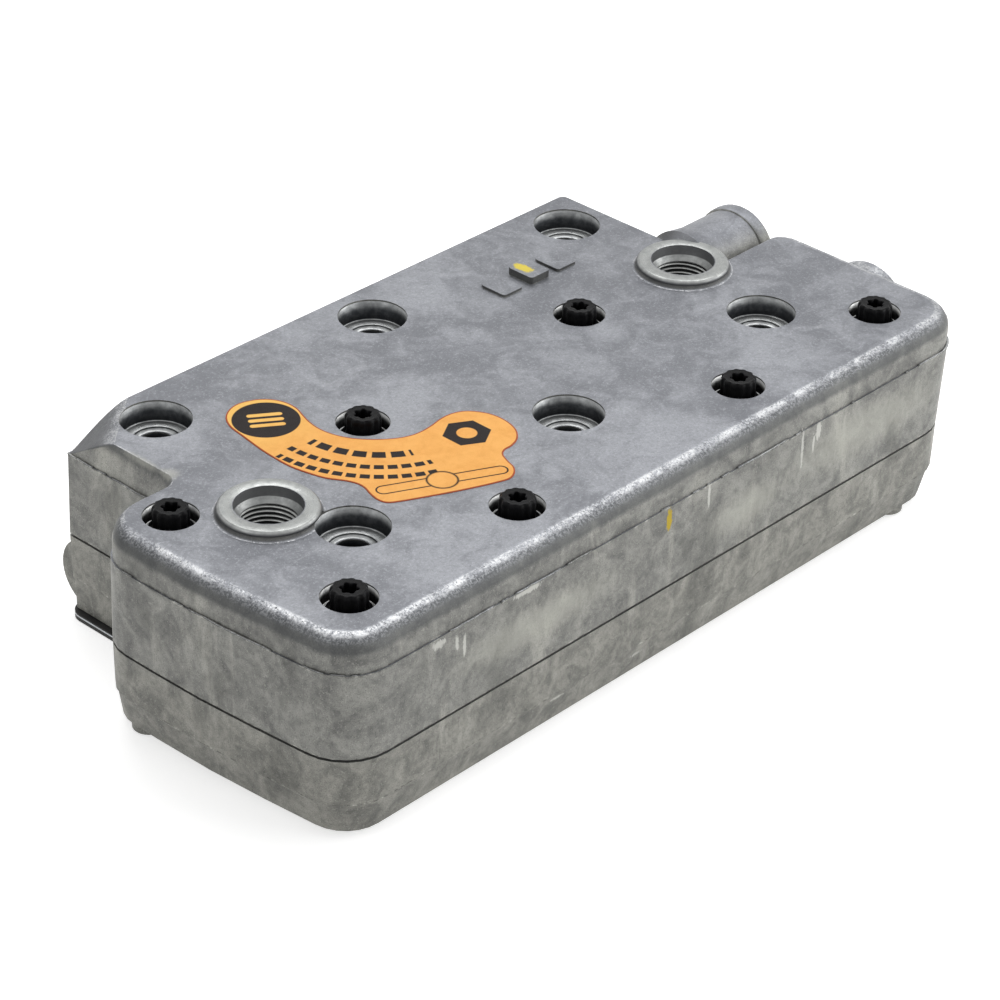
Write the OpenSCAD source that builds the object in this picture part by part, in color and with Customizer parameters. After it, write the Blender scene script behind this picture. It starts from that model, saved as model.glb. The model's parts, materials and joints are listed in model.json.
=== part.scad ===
// Water-cooled head of a twin-cylinder reciprocating compressor.
// Frame: origin on the block face, midway between the six head-bolt holes.
// +X runs along the head towards the hose stub, +Y to the rear, +Z up. Millimetres.

/* [Castings] */
// Reach of the castings to the left of the bolt pattern's centre
left_reach = 137.3; // [134:0.1:145]
// How far the left side draws in towards the front corner
left_draw = 5.1; // [3:0.1:7]
// Reach of the castings to the right
right_reach = 134; // [132:0.1:142]
// Reach of the castings to the front
front_reach = 83.8; // [82:0.1:92]
// Reach of the castings to the rear
rear_reach = 57; // [56:0.1:62]
// Reach of the narrower rear part to the left
rear_left_reach = 107.5; // [106:0.1:114]
// Reach of the narrower rear part to the right
rear_right_reach = 104; // [103:0.1:107]
// How far behind the centre the left shoulder lies
left_shoulder_y = 12.5; // [10:0.1:16]
// How far in front of the centre the right shoulder lies
right_shoulder_y = 9; // [8.5:0.1:11]
// Where the left side bends inwards, in front of the centre
left_bend_y = 31; // [28:0.5:36]
// Radius of the two front corners
front_corner_r = 16; // [12:0.5:18]
// Radius of the left shoulder's corner
left_shoulder_r = 14; // [10:0.5:16]
// Radius of the right shoulder's corner
right_shoulder_r = 8.5; // [8:0.1:10]
// How far the right side of the upper casting leans outwards over its height
right_lean = 3.3; // [0:0.1:4]
// Height of the upper casting
upper_h = 37.1; // [37:0.1:42]
// Height of the lower casting
lower_h = 25.6; // [25:0.1:30]
// Thickness of the gasket between the castings
head_gasket_t = 0.8; // [0.5:0.1:1.5]
// How far the gasket's edge stands back from the walls
gasket_inset = 0.6; // [0.3:0.1:1.5]
// Depth of the upper casting's rim band, down to its parting line
rim_h = 10.5; // [9:0.1:13]
// Radius of the worn fillet round the top face
top_fillet = 6; // [4:0.1:7]
// Radius of the fillet along the rear of the top face
rear_fillet = 1.8; // [1:0.1:3]
// Step of the wall at a parting line
parting_step = 0.5; // [0.2:0.1:1]
// Draft of each wall over its height
draft = 0.3; // [0:0.1:1]
// Length of the corner facet along the rear edge
facet_x = 20; // [16:0.5:24]
// Length of the corner facet along the left edge
facet_y = 17; // [12:0.5:20]
// Height of the tapered foot of the lower casting
foot_h = 11; // [9:0.1:13]
// How far the foot tapers in at its lower edge
foot_taper = 3.2; // [2:0.1:6]
// Thickness of the outer walls
wall_t = 6.5; // [5:0.1:8]
// Thickness of the top deck
deck_t = 8.5; // [7:0.1:10]
// Thickness of the lower casting's two decks
plate_t = 6; // [5:0.1:7]

/* [Head bolts] */
// Spacing of the head-bolt holes along the head
bolt_pitch_x = 87.4; // [86:0.1:90]
// Spacing of the two rows of head-bolt holes
bolt_pitch_y = 80; // [79:0.1:84]
// Radius of the head-bolt holes
bolt_hole_r = 5.25; // [5:0.05:5.6]
// Radius of the head-bolt counterbores
bolt_seat_r = 10.6; // [9.5:0.1:11]
// Depth of the head-bolt counterbores
bolt_seat_depth = 6.9; // [5:0.1:8]
// Radius of the shallow step inside each counterbore
bolt_step_r = 7.2; // [6.5:0.1:8]
// Depth of that step
bolt_step_depth = 0.7; // [0.3:0.1:1.2]
// Radius of the solid pillar round each head bolt
bolt_pillar_r = 10; // [9:0.1:11]

/* [Clamp screws] */
// Distance of the end screw in from the left side
end_screw_inset = 18.1; // [16:0.1:20]
// Distance of the end screw in front of the centre
end_screw_y = 1.4; // [0:0.1:3]
// Distance of the two inner screws from the centre
inner_screw_x = 46.3; // [45:0.1:48]
// Distance of the inner screws in front of the centre
inner_screw_y = 2.4; // [1.5:0.1:3]
// Distance of the two middle front screws from the centre
front_screw_x = 47.6; // [44:0.1:52]
// Distance of the front left corner's screw in from its side
left_corner_inset = 19.5; // [18:0.1:22]
// Distance of the front right corner's screw in from its side
right_corner_inset = 21.3; // [20:0.1:24]
// Distance of the front row of screws in front of the centre
front_screw_y = 64; // [62:0.1:66]
// Radius of the screws' counterbores
screw_seat_r = 8; // [7.5:0.1:8.5]
// Depth of the screws' counterbores
screw_seat_depth = 5.2; // [4.5:0.1:6]
// Radius of the screw's thread
screw_r = 4; // [3.5:0.1:4.2]
// Radial clearance round the screw's thread
screw_clear = 0.1; // [0.05:0.01:0.2]
// Radial clearance round the screw in the upper casting
screw_pass = 0.5; // [0.3:0.1:0.8]
// Radius of the screw's flange
flange_r = 6.9; // [6.5:0.1:7.3]
// Thickness of the screw's flange at its rim
flange_t = 1.2; // [1:0.1:2]
// Radius over the lobes of the screw's head
lobe_head_r = 4.71; // [4.4:0.01:5]
// Height of the screw's head above its seat
screw_head_h = 8.2; // [7:0.1:9]
// Length of thread engaged in the lower casting
screw_grip = 14; // [10:0.5:15]
// Radius of the boss round each screw
screw_boss_r = 8; // [7:0.1:8.5]

/* [Ports] */
// Distance of the left coolant port to the left of the centre
port_left_x = 99.3; // [97:0.1:101]
// Distance of the left coolant port in front of the centre
port_left_y = 19.2; // [18:0.1:22]
// Distance of the right coolant port to the right of the centre
port_right_x = 91.8; // [90:0.1:92]
// Distance of the right coolant port in front of the centre
port_right_y = 4.7; // [4:0.1:6]
// Radius of a port's machined ring
ring_r = 14.46; // [13.5:0.01:15]
// Height of the ring above the top face
ring_h = 2.65; // [2:0.01:3.5]
// Chamfer of the ring's outer edge
ring_chamfer = 0.8; // [0.3:0.1:1.2]
// Width of the cast fillet at the ring's foot
ring_foot = 1.4; // [0.8:0.1:2]
// Radius of the recess in the ring
recess_r = 9.92; // [9.3:0.01:10.5]
// Depth of the recess
recess_depth = 3.2; // [2.5:0.1:4]
// Depth of the lead-in chamfer below the recess
lead_depth = 1.6; // [1:0.1:2]
// Radius of the coolant ports' thread bore
port_bore_r = 8.19; // [8:0.01:8.4]
// Depth of the thread bore below the lead-in
port_thread_depth = 12.5; // [11:0.1:14]
// Radius of the coolant passage below the thread
passage_r = 7; // [6:0.1:7.4]
// Radius of the solid pillar round a port
port_pillar_r = 12; // [11:0.1:12.4]
// Distance of the delivery port in front of the centre
delivery_port_y = 43.5; // [42:0.1:45]
// Depth of the delivery port's axis below the top face
delivery_port_drop = 15.5; // [15:0.1:18]
// Radius of the delivery port's boss
delivery_boss_r = 14.8; // [14:0.1:16]
// How far that boss stands out of the top of the right side
delivery_boss_h = 0.8; // [0.5:0.1:3]
// Radius of the delivery port's thread bore
delivery_bore_r = 12.19; // [11.5:0.01:12.4]
// Depth of the delivery port's bore
delivery_bore_depth = 16; // [14:0.5:18]

/* [Hose stub] */
// Distance of the stub's axis behind the centre
stub_y = 5; // [4:0.1:6]
// Depth of the stub's axis below the top face
stub_drop = 10.7; // [10:0.1:14]
// Radius of the stub's tube
stub_r = 13.5; // [12.5:0.1:13.8]
// Radius of the stub's bore
stub_bore_r = 10.5; // [9:0.1:11]
// Height of the bead above the tube
bead_h = 0.8; // [0.5:0.1:1.2]
// Length of the bead
bead_l = 5; // [3:0.1:6]
// Length of the bead's crest
bead_crest_l = 2; // [1:0.1:3]
// Length of the stub out of the rear part's side
stub_l = 28.7; // [27:0.1:32]
// Radius of the tube where it leaves the casting
stub_root_r = 14.6; // [13.8:0.1:15.5]
// Wall of the hose that has to pass between the stub and the front part's side
hose_t = 3.5; // [3:0.1:4]
// Radius of the neck below the stub's root
neck_r = 16.5; // [15:0.1:17.5]
// Length of the neck
neck_l = 8; // [6:0.1:10]
// How far the neck swings to the rear
neck_shift = 3.2; // [2:0.1:4]

/* [Pads] */
// Length of each locating pad along the head
pad_l = 8.4; // [7:0.1:9]
// Width of the pads
pad_w = 10.8; // [9:0.1:12]
// Pitch of the pads along the head
pad_pitch = 12.2; // [11:0.1:13]
// Distance of the middle pad to the right of the centre
pad_x = 53.5; // [50:0.1:58]
// Distance of the pads behind the centre
pad_y = 25.5; // [23:0.1:28]
// Height of the outer pads
low_pad_h = 0.9; // [0.5:0.1:1.5]
// Height of the middle pad
high_pad_h = 2.4; // [1.8:0.1:3]

/* [Valves] */
// Radius of the cylinder that each half of the head closes
cylinder_r = 38; // [36:0.1:40]
// Clearance of the gasket round each cylinder
cylinder_clear = 1; // [0.5:0.1:1.5]
// Width of a delivery reed
delivery_reed_w = 15; // [13:0.1:16]
// Thickness of a delivery reed
delivery_reed_t = 0.6; // [0.4:0.05:0.8]
// Length of the delivery reed that moves
delivery_reed_l = 42; // [38:0.5:44]
// Length of the delivery reed's clamped root
delivery_root_l = 19; // [18.5:0.5:20]
// Distance of the delivery valve in front of the cylinder's centre
delivery_y = 21; // [20.5:0.1:22]
// Distance of the clamped edge outwards of the cylinder's centre
delivery_clamp_x = 17; // [15:0.5:18]
// Radius of the delivery holes
delivery_hole_r = 4.8; // [4:0.1:5]
// Pitch of the holes of a valve
hole_pitch = 13; // [12:0.1:14]
// Thickness of the steel seat plates
seat_t = 2.5; // [2:0.1:3]
// Margin of the delivery seat round its reed
seat_margin = 2; // [1:0.1:2.5]
// Clearance round the seat plates
seat_clear = 0.1; // [0.05:0.01:0.2]
// Gap between a reed and its seat at rest
reed_gap = 0.05; // [0.03:0.01:0.08]
// Gap between a moving reed and its clamped root
reed_slit = 0.3; // [0.2:0.05:0.4]
// Thickness of the delivery stops
stop_t = 3.6; // [3:0.1:5]
// Lift of the delivery reed's tip at its stop
delivery_lift = 2.1; // [1.5:0.1:2.5]
// Clearance left at the stop
stop_clear = 0.25; // [0.2:0.05:0.4]
// Radius of the stop screws
stop_screw_r = 2.5; // [2:0.1:2.6]
// Radius over the corners of a stop screw's head
stop_head_r = 4.6; // [4.2:0.1:4.8]
// Height of a stop screw's head
stop_head_h = 3.5; // [3:0.1:4]
// Depth of a stop screw below the seat plate
stop_screw_grip = 10; // [8:0.5:11]
// Width of a suction reed
suction_reed_w = 17; // [15:0.1:18]
// Length of the suction reed that moves
suction_reed_l = 53; // [50:0.5:54]
// Distance of the suction valve behind the cylinder's centre
suction_y = 18.5; // [18:0.1:20]
// Distance of the suction reed's root outwards of the cylinder's centre
suction_root_x = 27.5; // [26:0.1:28]
// Radius of the suction holes
suction_hole_r = 5.6; // [5:0.1:6]
// Length of the steel suction seat
suction_seat_l = 49; // [46:0.5:50]
// Width of the steel suction seat
suction_seat_w = 19; // [17.5:0.1:20]
// Thickness of the gasket above the reed sheet
leaf_gasket_t = 0.5; // [0.4:0.05:0.8]
// Thickness of the suction reed sheet
leaf_t = 0.5; // [0.4:0.05:0.6]
// Thickness of the block gasket
block_gasket_t = 1.3; // [1:0.1:1.6]

/* [Small parts] */
// Outer radius of the dowel sleeves
dowel_r = 6.8; // [6.6:0.1:7.2]
// Wall of the dowel sleeves
dowel_wall = 1.3; // [1.1:0.1:1.4]
// Depth of a dowel sleeve in each casting
dowel_depth = 5; // [4:0.1:6]
// Clearance of the dowel sleeves
dowel_clear = 0.03; // [0.02:0.01:0.1]
// Radius of the core plugs
plug_r = 8; // [7:0.1:8.5]
// Depth of the core plugs
plug_depth = 4; // [3:0.1:5]
// Thickness of the plugs' sheet
plug_t = 1.2; // [0.8:0.1:1.5]
// Radius of the rear gallery's bulge
gallery_r = 11.5; // [10:0.1:12]
// Distance of the gallery's axis behind the centre
gallery_y = 51; // [50:0.1:52]
// Right end of the gallery, from the centre
gallery_end_x = 72; // [60:0.5:80]
// Radius of the gallery's passage
gallery_bore_r = 5; // [4:0.1:5]
// Thickness of the label
label_t = 0.2; // [0.1:0.05:0.3]

/* [Hidden] */
$fn = 64;

// Overrun of a cut past the face that it opens
over = 1;
// Steps of every rounded corner and fillet, and of a corner that hardly turns
arc_steps = 6;
slight_steps = 2;

// Levels, from the block face up
sheet_z = block_gasket_t;
leaf_top_z = sheet_z + leaf_t;
lower_z = leaf_top_z + leaf_gasket_t;
joint_z = lower_z + lower_h;
upper_z = joint_z + head_gasket_t;
top_z = upper_z + upper_h;
rim_z = top_z - rim_h;
ceiling_z = top_z - deck_t;
foot_z = lower_z + foot_h;
ring_top_z = top_z + ring_h;
thread_top_z = ring_top_z - recess_depth - lead_depth;
thread_end_z = thread_top_z - port_thread_depth;
screw_seat_z = top_z - screw_seat_depth;
screw_end_z = joint_z - screw_grip;
stub_z = top_z - stub_drop;
delivery_z = top_z - delivery_port_drop;
delivery_face_x = right_reach + right_lean + delivery_boss_h;
jacket_z = lower_z + plate_t;
jacket_top_z = joint_z - plate_t;
mid_lower_z = lower_z + lower_h / 2;

// Corner radii that nothing else fixes
rear_corner_r = 2;
low_corner_share = 0.4;
inner_r = 5;
bend_r = 400;
room_r = 4;
sheet_corner_r = 5;
facet_low_share = 0.04;
pad_r = 1;

// Small gaps, laps and insets that nothing else fixes
end_gap = 1;
dowel_end_gap = 0.5;
room_gap = 1;
block_ledge = 1;
root_lap = 0.5;
plug_inset = 1;
cone_w = 0.5;
bore_step = 0.5;
inlet_step = 2;
gallery_bore_shift = 2;
gallery_inset = 2;

// Places of the bolts, the screws and the ports
left_front_reach = left_reach - left_draw;
end_screw_x = left_reach - end_screw_inset;
left_corner_x = left_front_reach - left_corner_inset;
right_corner_x = right_reach - right_corner_inset;
bolt_row_y = bolt_pitch_y / 2;
bolt_places = [for (x = [-1, 0, 1], y = [-1, 1]) [x * bolt_pitch_x, y * bolt_row_y]];
dowel_places = [[-bolt_pitch_x, bolt_row_y], [bolt_pitch_x, -bolt_row_y]];
inner_screws = [for (s = [-1, 1]) [s * inner_screw_x, -inner_screw_y]];
front_screws = [for (x = [-left_corner_x, -front_screw_x, front_screw_x, right_corner_x])
    [x, -front_screw_y]];
screw_places = concat([[-end_screw_x, -end_screw_y]], inner_screws, front_screws);
port_left = [-port_left_x, -port_left_y];
port_right = [port_right_x, -port_right_y];
cylinder_x = bolt_pitch_x / 2;
sides = [-1, 1];

// Rooms of the upper casting, each [left, right, front, rear]
seat_end_x = cylinder_x + delivery_clamp_x + delivery_root_l + seat_margin;
pillar_front_y = -bolt_row_y + bolt_pillar_r;
right_room_x = bolt_pitch_x + bolt_pillar_r + room_gap;
front_gallery_y = -bolt_row_y - bolt_pillar_r - seat_margin;
delivery_front_y = -delivery_y - delivery_reed_w / 2 - 2 * seat_margin;
suction_room = [-rear_left_reach + wall_t, rear_right_reach - wall_t,
    -inner_screw_y + screw_boss_r, rear_reach - wall_t];
delivery_room = [-seat_end_x - seat_margin, seat_end_x + seat_margin,
    delivery_front_y, -inner_screw_y - screw_boss_r];
delivery_neck = [seat_end_x - room_r, right_room_x + room_r, pillar_front_y, -port_right_y - port_pillar_r];
right_room = [right_room_x, right_reach - wall_t, -front_screw_y + screw_boss_r, -right_shoulder_y - wall_t];
front_gallery = [-left_front_reach + wall_t, right_room_x - plate_t, -front_reach + wall_t, front_gallery_y];
left_room = [-left_front_reach + wall_t, -port_left_x + passage_r,
    front_gallery_y - room_r, -end_screw_y - screw_boss_r];

// Places of the water holes between the castings
water_hole_r = 6;
water_hole_xs = [-(front_screw_x + left_corner_x) / 2, 0, (front_screw_x + right_corner_x) / 2];
water_holes = [for (x = water_hole_xs) [x, -front_screw_y]];

// Sizes of the valves along the cylinder's own axes, outwards positive
delivery_tip_x = delivery_clamp_x - delivery_reed_l;
delivery_seat_x = delivery_tip_x - seat_margin;
delivery_seat_l = delivery_reed_l + delivery_root_l + 2 * seat_margin;
delivery_seat_w = delivery_reed_w + 2 * seat_margin;
delivery_hole_x = delivery_tip_x + delivery_reed_w / 2;
stop_screw_shares = [0.25, 0.76];
stop_screw_xs = [for (s = stop_screw_shares) delivery_clamp_x + s * delivery_root_l];
suction_tip_x = suction_root_x - suction_reed_l;
suction_seat_x = (suction_root_x + suction_tip_x - suction_seat_l) / 2;
suction_hole_x = suction_tip_x + suction_reed_w / 2 + seat_margin;
duct_w = suction_seat_w - seat_margin;
duct_l = suction_seat_l - seat_margin;
stop_bend_x = delivery_clamp_x + reed_slit;
stop_rise = (delivery_lift + stop_clear) / delivery_reed_l * (delivery_reed_l + reed_slit);

// Outline of the gasket faces towards the block
block_front_y = bolt_row_y + bolt_pillar_r;
block_rear_y = rear_reach + gasket_inset;
block_left_x = rear_left_reach + block_ledge;
block_right_x = rear_right_reach + block_ledge;

// Label on the top face: its corner, its size and its outline in shares of that size
label_x = -82.5;
label_y = -56.5;
label_l = 67;
label_w = 85.5;
label_lobe_shares = [0.254, 0.863];
label_lobe_r_share = 0.172;
label_shares = [[0.03, 0.85, 0.08], [0, 0.63, 0.3], [0.10, 0.44, 0.14], [0.17, 0.35, 0.05],
    [0.11, 0.24, 0.06], [0.19, 0.175, 0.05], [0.66, 0.006, 0.08], [0.78, 0.10, 0.05],
    [0.81, 0.165, 0.04], [1, 0.22, 0.12], [0.985, 0.44, 0.09], [0.78, 0.47, 0.12],
    [0.575, 0.456, 0.12], [0.42, 0.545, 0.12], [0.38, 0.70, 0.12], [0.42, 0.86, 0.03]];

// One rounded corner [x, y, r] of an outline, between its two neighbours. A slight corner
// may give its own number of steps after its radius.
function place(c) = [c[0], c[1]];
function unit(v) = v / norm(v);
function steps_of(c) = is_undef(c[3]) ? arc_steps : c[3];
function corner_arc(a, p, b, r, n) =
    let (u = unit(a - p), v = unit(b - p), half = acos(u * v) / 2)
    let (c = p + unit(u + v) * r / sin(half))
    let (from = p + u * r / tan(half) - c, to = p + v * r / tan(half) - c)
    let (start = atan2(from[1], from[0]), turn = atan2(cross(from, to), from * to))
    [for (i = [0:n]) c + r * [cos(start + turn * i / n), sin(start + turn * i / n)]];

// Closed outline through rounded corners
function rounded(corners) =
    let (n = len(corners))
    [for (i = [0:n - 1])
        each corner_arc(place(corners[(i + n - 1) % n]), place(corners[i]),
            place(corners[(i + 1) % n]), corners[i][2], steps_of(corners[i]))];

// Rectangle [left, right, front, rear] with rounded corners
function box_outline(b, r) = rounded([[b[0], b[2], r], [b[1], b[2], r], [b[1], b[3], r], [b[0], b[3], r]]);

// Plan of both castings, drawn in by f at the front and the sides and by s at the rear.
// The right side leans out, and the rear left corner is cut back by a share of its facet.
function plan(f, s, cut, lean = 0) =
    let (right = right_reach + lean - f, left = -left_reach + f, mean = (f + s) / 2)
    let (cut_r = rear_corner_r * (low_corner_share + (1 - low_corner_share) * cut))
    rounded([
        [-left_front_reach + f, -front_reach + f, front_corner_r - f],
        [right, -front_reach + f, front_corner_r - f],
        [right, -right_shoulder_y - s, right_shoulder_r - mean],
        [rear_right_reach - s, -right_shoulder_y - s, inner_r],
        [rear_right_reach - s, rear_reach - s, rear_corner_r],
        [-rear_left_reach + s + cut * facet_x, rear_reach - s, cut_r, slight_steps],
        [-rear_left_reach + s, rear_reach - s - cut * facet_y, cut_r, slight_steps],
        [-rear_left_reach + s, left_shoulder_y - s, inner_r],
        [left, left_shoulder_y - s, left_shoulder_r - mean],
        [left, -left_bend_y, bend_r, slight_steps]]);

// How far the right side of the upper casting leans out at a height
function lean_at(z) = right_lean * (z - upper_z) / upper_h;

// Solid through rings of points, each ring at its own height. The middle of each end face
// lies in front of the centre, where it sees every corner past both shoulders.
module loft(rings, heights) {
    n = len(rings[0]);
    last = len(rings) - 1;
    middle_y = -front_reach / 2;
    corners = [for (i = [0:last]) for (p = rings[i]) [p[0], p[1], heights[i]]];
    middles = [[0, middle_y, heights[0]], [0, middle_y, heights[last]]];
    walls = [for (i = [0:last - 1]) for (j = [0:n - 1])
        let (a = i * n + j, b = i * n + (j + 1) % n)
        each [[a, a + n, b + n], [a, b + n, b]]];
    foot = [for (j = [0:n - 1]) [len(corners), j, (j + 1) % n]];
    lid = [for (j = [0:n - 1]) [len(corners) + 1, last * n + (j + 1) % n, last * n + j]];
    polyhedron(concat(corners, middles), concat(foot, walls, lid));
}

// Rounded-cornered room between two heights
module room(b, z0, z1) {
    translate([0, 0, z0]) linear_extrude(z1 - z0) polygon(box_outline(b, room_r));
}

// Round holes or pillars of one radius at a list of places
module rounds(places, r, z0, z1) {
    for (p = places) translate([p[0], p[1], z0]) cylinder(r = r, h = z1 - z0);
}

// A cylinder's own frame, with +X pointing outwards
module at_cylinder(side) {
    translate([side * cylinder_x, 0, 0]) mirror([side < 0 ? 1 : 0, 0, 0]) children();
}

// Block from one corner to the other
module block(low, high) {
    translate(low) cube(high - low);
}

// Upper casting: rim band, ports, hose stub, pads and the rooms inside
module upper_shell() {
    fillet = [for (i = [0:arc_steps]) 90 * i / arc_steps];
    step = draft + parting_step;
    rises = [for (a = fillet) top_z - top_fillet * (1 - sin(a))];
    cuts = [for (z = rises) facet_low_share + (1 - facet_low_share) * (z - rim_z) / rim_h];
    rim = [for (i = [0:arc_steps])
        plan(step + top_fillet * (1 - cos(fillet[i])), step + rear_fillet * (1 - cos(fillet[i])),
            cuts[i], lean_at(rises[i]))];
    loft(
        concat([plan(0, 0, facet_low_share), plan(draft, draft, facet_low_share, lean_at(rim_z)),
            plan(step, step, facet_low_share, lean_at(rim_z))], rim),
        concat([upper_z, rim_z, rim_z], rises));
}

module ring_boss(p) {
    foot = [for (a = [0:90 / arc_steps:90])
        [ring_r + ring_foot * (1 - sin(a)), ring_foot * (1 - cos(a))]];
    translate([p[0], p[1], top_z]) rotate_extrude()
        polygon(concat([[0, -over], [ring_r + ring_foot, -over]], foot,
            [[ring_r, ring_h - ring_chamfer], [ring_r - ring_chamfer, ring_h], [0, ring_h]]));
}

module port_bore(p, end_z) {
    translate([p[0], p[1], 0]) {
        translate([0, 0, ring_top_z - recess_depth]) cylinder(r = recess_r, h = recess_depth + over);
        translate([0, 0, thread_top_z]) cylinder(r1 = port_bore_r, r2 = recess_r, h = lead_depth);
        translate([0, 0, thread_end_z]) cylinder(r = port_bore_r, h = port_thread_depth);
        translate([0, 0, end_z]) cylinder(r = passage_r, h = thread_end_z - end_z);
    }
}

module hose_stub() {
    bead = [for (half = [0, 1], a = [90 * half:180 / arc_steps:90 * (half + 1)])
        [stub_r + bead_h * sin(a),
            stub_l - bead_l / 2 + (half - 1 / 2) * bead_crest_l - (bead_l - bead_crest_l) / 2 * cos(a)]];
    translate([rear_right_reach, stub_y, stub_z]) rotate([0, 90, 0]) rotate_extrude()
        polygon(concat([[0, -wall_t], [stub_drop - parting_step, -wall_t], [stub_root_r, 0],
            [stub_r, neck_l]], bead, [[0, stub_l]]));
    hull() {
        translate([rear_right_reach - wall_t, stub_y + neck_shift, top_z - neck_r - rear_fillet])
            rotate([0, 90, 0]) cylinder(r = neck_r, h = wall_t, $fn = 32);
        translate([rear_right_reach, stub_y, stub_z])
            rotate([0, 90, 0]) cylinder(r = stub_r, h = neck_l, $fn = 32);
    }
}

// Hollow in the front part's side, so that a hose can be pushed over the stub
module hose_relief() {
    translate([rear_right_reach + neck_l, stub_y, stub_z])
        rotate([0, 90, 0]) cylinder(r = stub_r + hose_t, h = stub_l + wall_t);
}

module stub_passage() {
    translate([rear_right_reach + neck_l, stub_y, stub_z])
        rotate([0, 90, 0]) cylinder(r = stub_bore_r, h = stub_l - neck_l + over);
    hull() {
        translate([rear_right_reach + neck_l, stub_y, stub_z])
            rotate([0, 90, 0]) cylinder(r = stub_bore_r - bore_step, h = over, $fn = 32);
        translate([rear_right_reach - 2 * wall_t, stub_y + stub_r, stub_z - wall_t])
            rotate([0, 90, 0]) cylinder(r = stub_bore_r - inlet_step, h = wall_t, $fn = 32);
    }
}

module locating_pads() {
    for (i = [-1, 0, 1]) {
        x = pad_x + i * pad_pitch;
        h = i == 0 ? high_pad_h : low_pad_h;
        corner = pad_l / 4;
        translate([0, 0, top_z - over]) linear_extrude(h + over)
            polygon(rounded([
                [x - pad_l / 2, pad_y - pad_w / 2, pad_r], [x + pad_l / 2, pad_y - pad_w / 2, pad_r],
                [x + pad_l / 2, pad_y + pad_w / 2, corner], [x - pad_l / 2, pad_y + pad_w / 2, corner]]));
    }
}

module delivery_boss() {
    intersection() {
        translate([right_reach - wall_t, -delivery_port_y, delivery_z])
            rotate([0, 90, 0]) cylinder(r = delivery_boss_r, h = delivery_face_x - right_reach + wall_t);
        block([0, -front_reach, upper_z], [2 * right_reach, 0, top_z - parting_step]);
    }
}

module upper_rooms() {
    difference() {
        union() {
            room(suction_room, upper_z - over, ceiling_z);
            room(delivery_room, upper_z - over, ceiling_z);
            room(delivery_neck, upper_z - over, ceiling_z);
            room(right_room, upper_z - over, ceiling_z);
            room(front_gallery, upper_z - over, ceiling_z);
            room(left_room, upper_z - over, thread_end_z - end_gap);
        }
        rounds(bolt_places, bolt_pillar_r, 0, top_z);
        rounds(screw_places, screw_boss_r, 0, top_z);
        rounds([port_right], port_pillar_r, 0, top_z);
    }
}

module upper_head() {
    color("#a3a5a9") difference() {
        union() {
            difference() {
                upper_shell();
                hose_relief();
            }
            for (p = [port_left, port_right]) ring_boss(p);
            hose_stub();
            locating_pads();
            delivery_boss();
        }
        upper_rooms();
        port_bore(port_left, thread_end_z - end_gap - over);
        port_bore(port_right, upper_z - over);
        stub_passage();
        translate([delivery_face_x - delivery_bore_depth, -delivery_port_y, delivery_z])
            rotate([0, 90, 0]) cylinder(r = delivery_bore_r, h = delivery_bore_depth + over);
        rounds(bolt_places, bolt_hole_r, upper_z - over, top_z);
        rounds(bolt_places, bolt_step_r, top_z - bolt_seat_depth - bolt_step_depth, top_z);
        rounds(bolt_places, bolt_seat_r, top_z - bolt_seat_depth, ring_top_z);
        rounds(screw_places, screw_r + screw_pass, upper_z - over, top_z);
        rounds(screw_places, screw_seat_r, screw_seat_z, ring_top_z);
        rounds(dowel_places, dowel_r + dowel_clear, upper_z - over, upper_z + dowel_depth + dowel_end_gap);
    }
}

// Gasket between the castings, cut out over the valves and the passages
module head_gasket() {
    color("#1c1c1e") difference() {
        translate([0, 0, joint_z]) linear_extrude(head_gasket_t)
            polygon(plan(gasket_inset, gasket_inset, facet_low_share));
        difference() {
            union() {
                room(delivery_room, joint_z - over, upper_z + over);
                room(delivery_neck, joint_z - over, upper_z + over);
                room(right_room, joint_z - over, upper_z + over);
            }
            rounds(bolt_places, bolt_pillar_r, joint_z - 2 * over, upper_z + 2 * over);
            rounds([port_right], port_pillar_r, joint_z - 2 * over, upper_z + 2 * over);
        }
        for (s = sides) at_cylinder(s) suction_duct(joint_z - over, upper_z + over);
        rounds(bolt_places, bolt_hole_r + screw_clear, joint_z - over, upper_z + over);
        rounds(dowel_places, dowel_r + screw_clear, joint_z - over, upper_z + over);
        rounds(screw_places, screw_r + screw_pass, joint_z - over, upper_z + over);
        rounds(concat(water_holes, [port_right]), water_hole_r, joint_z - over, upper_z + over);
    }
}

module suction_duct(z0, z1) {
    room([suction_seat_x + seat_margin / 2, suction_seat_x + seat_margin / 2 + duct_l,
        suction_y - duct_w / 2, suction_y + duct_w / 2], z0, z1);
}

// Lower casting: valve decks with a water jacket between them, a gallery along the rear
module lower_shell() {
    loft([
        plan(foot_taper + parting_step, draft + 2 * parting_step, facet_low_share),
        plan(foot_taper, draft + parting_step, facet_low_share),
        plan(draft + parting_step, draft + parting_step / 2, facet_low_share),
        plan(draft, draft, facet_low_share),
        plan(0, 0, facet_low_share)],
        [lower_z, lower_z + parting_step, foot_z, foot_z, joint_z]);
}

module rear_gallery() {
    translate([-rear_left_reach + gallery_inset, gallery_y, mid_lower_z]) rotate([0, 90, 0])
        cylinder(r = gallery_r, h = rear_left_reach - gallery_inset + gallery_end_x);
}

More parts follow.
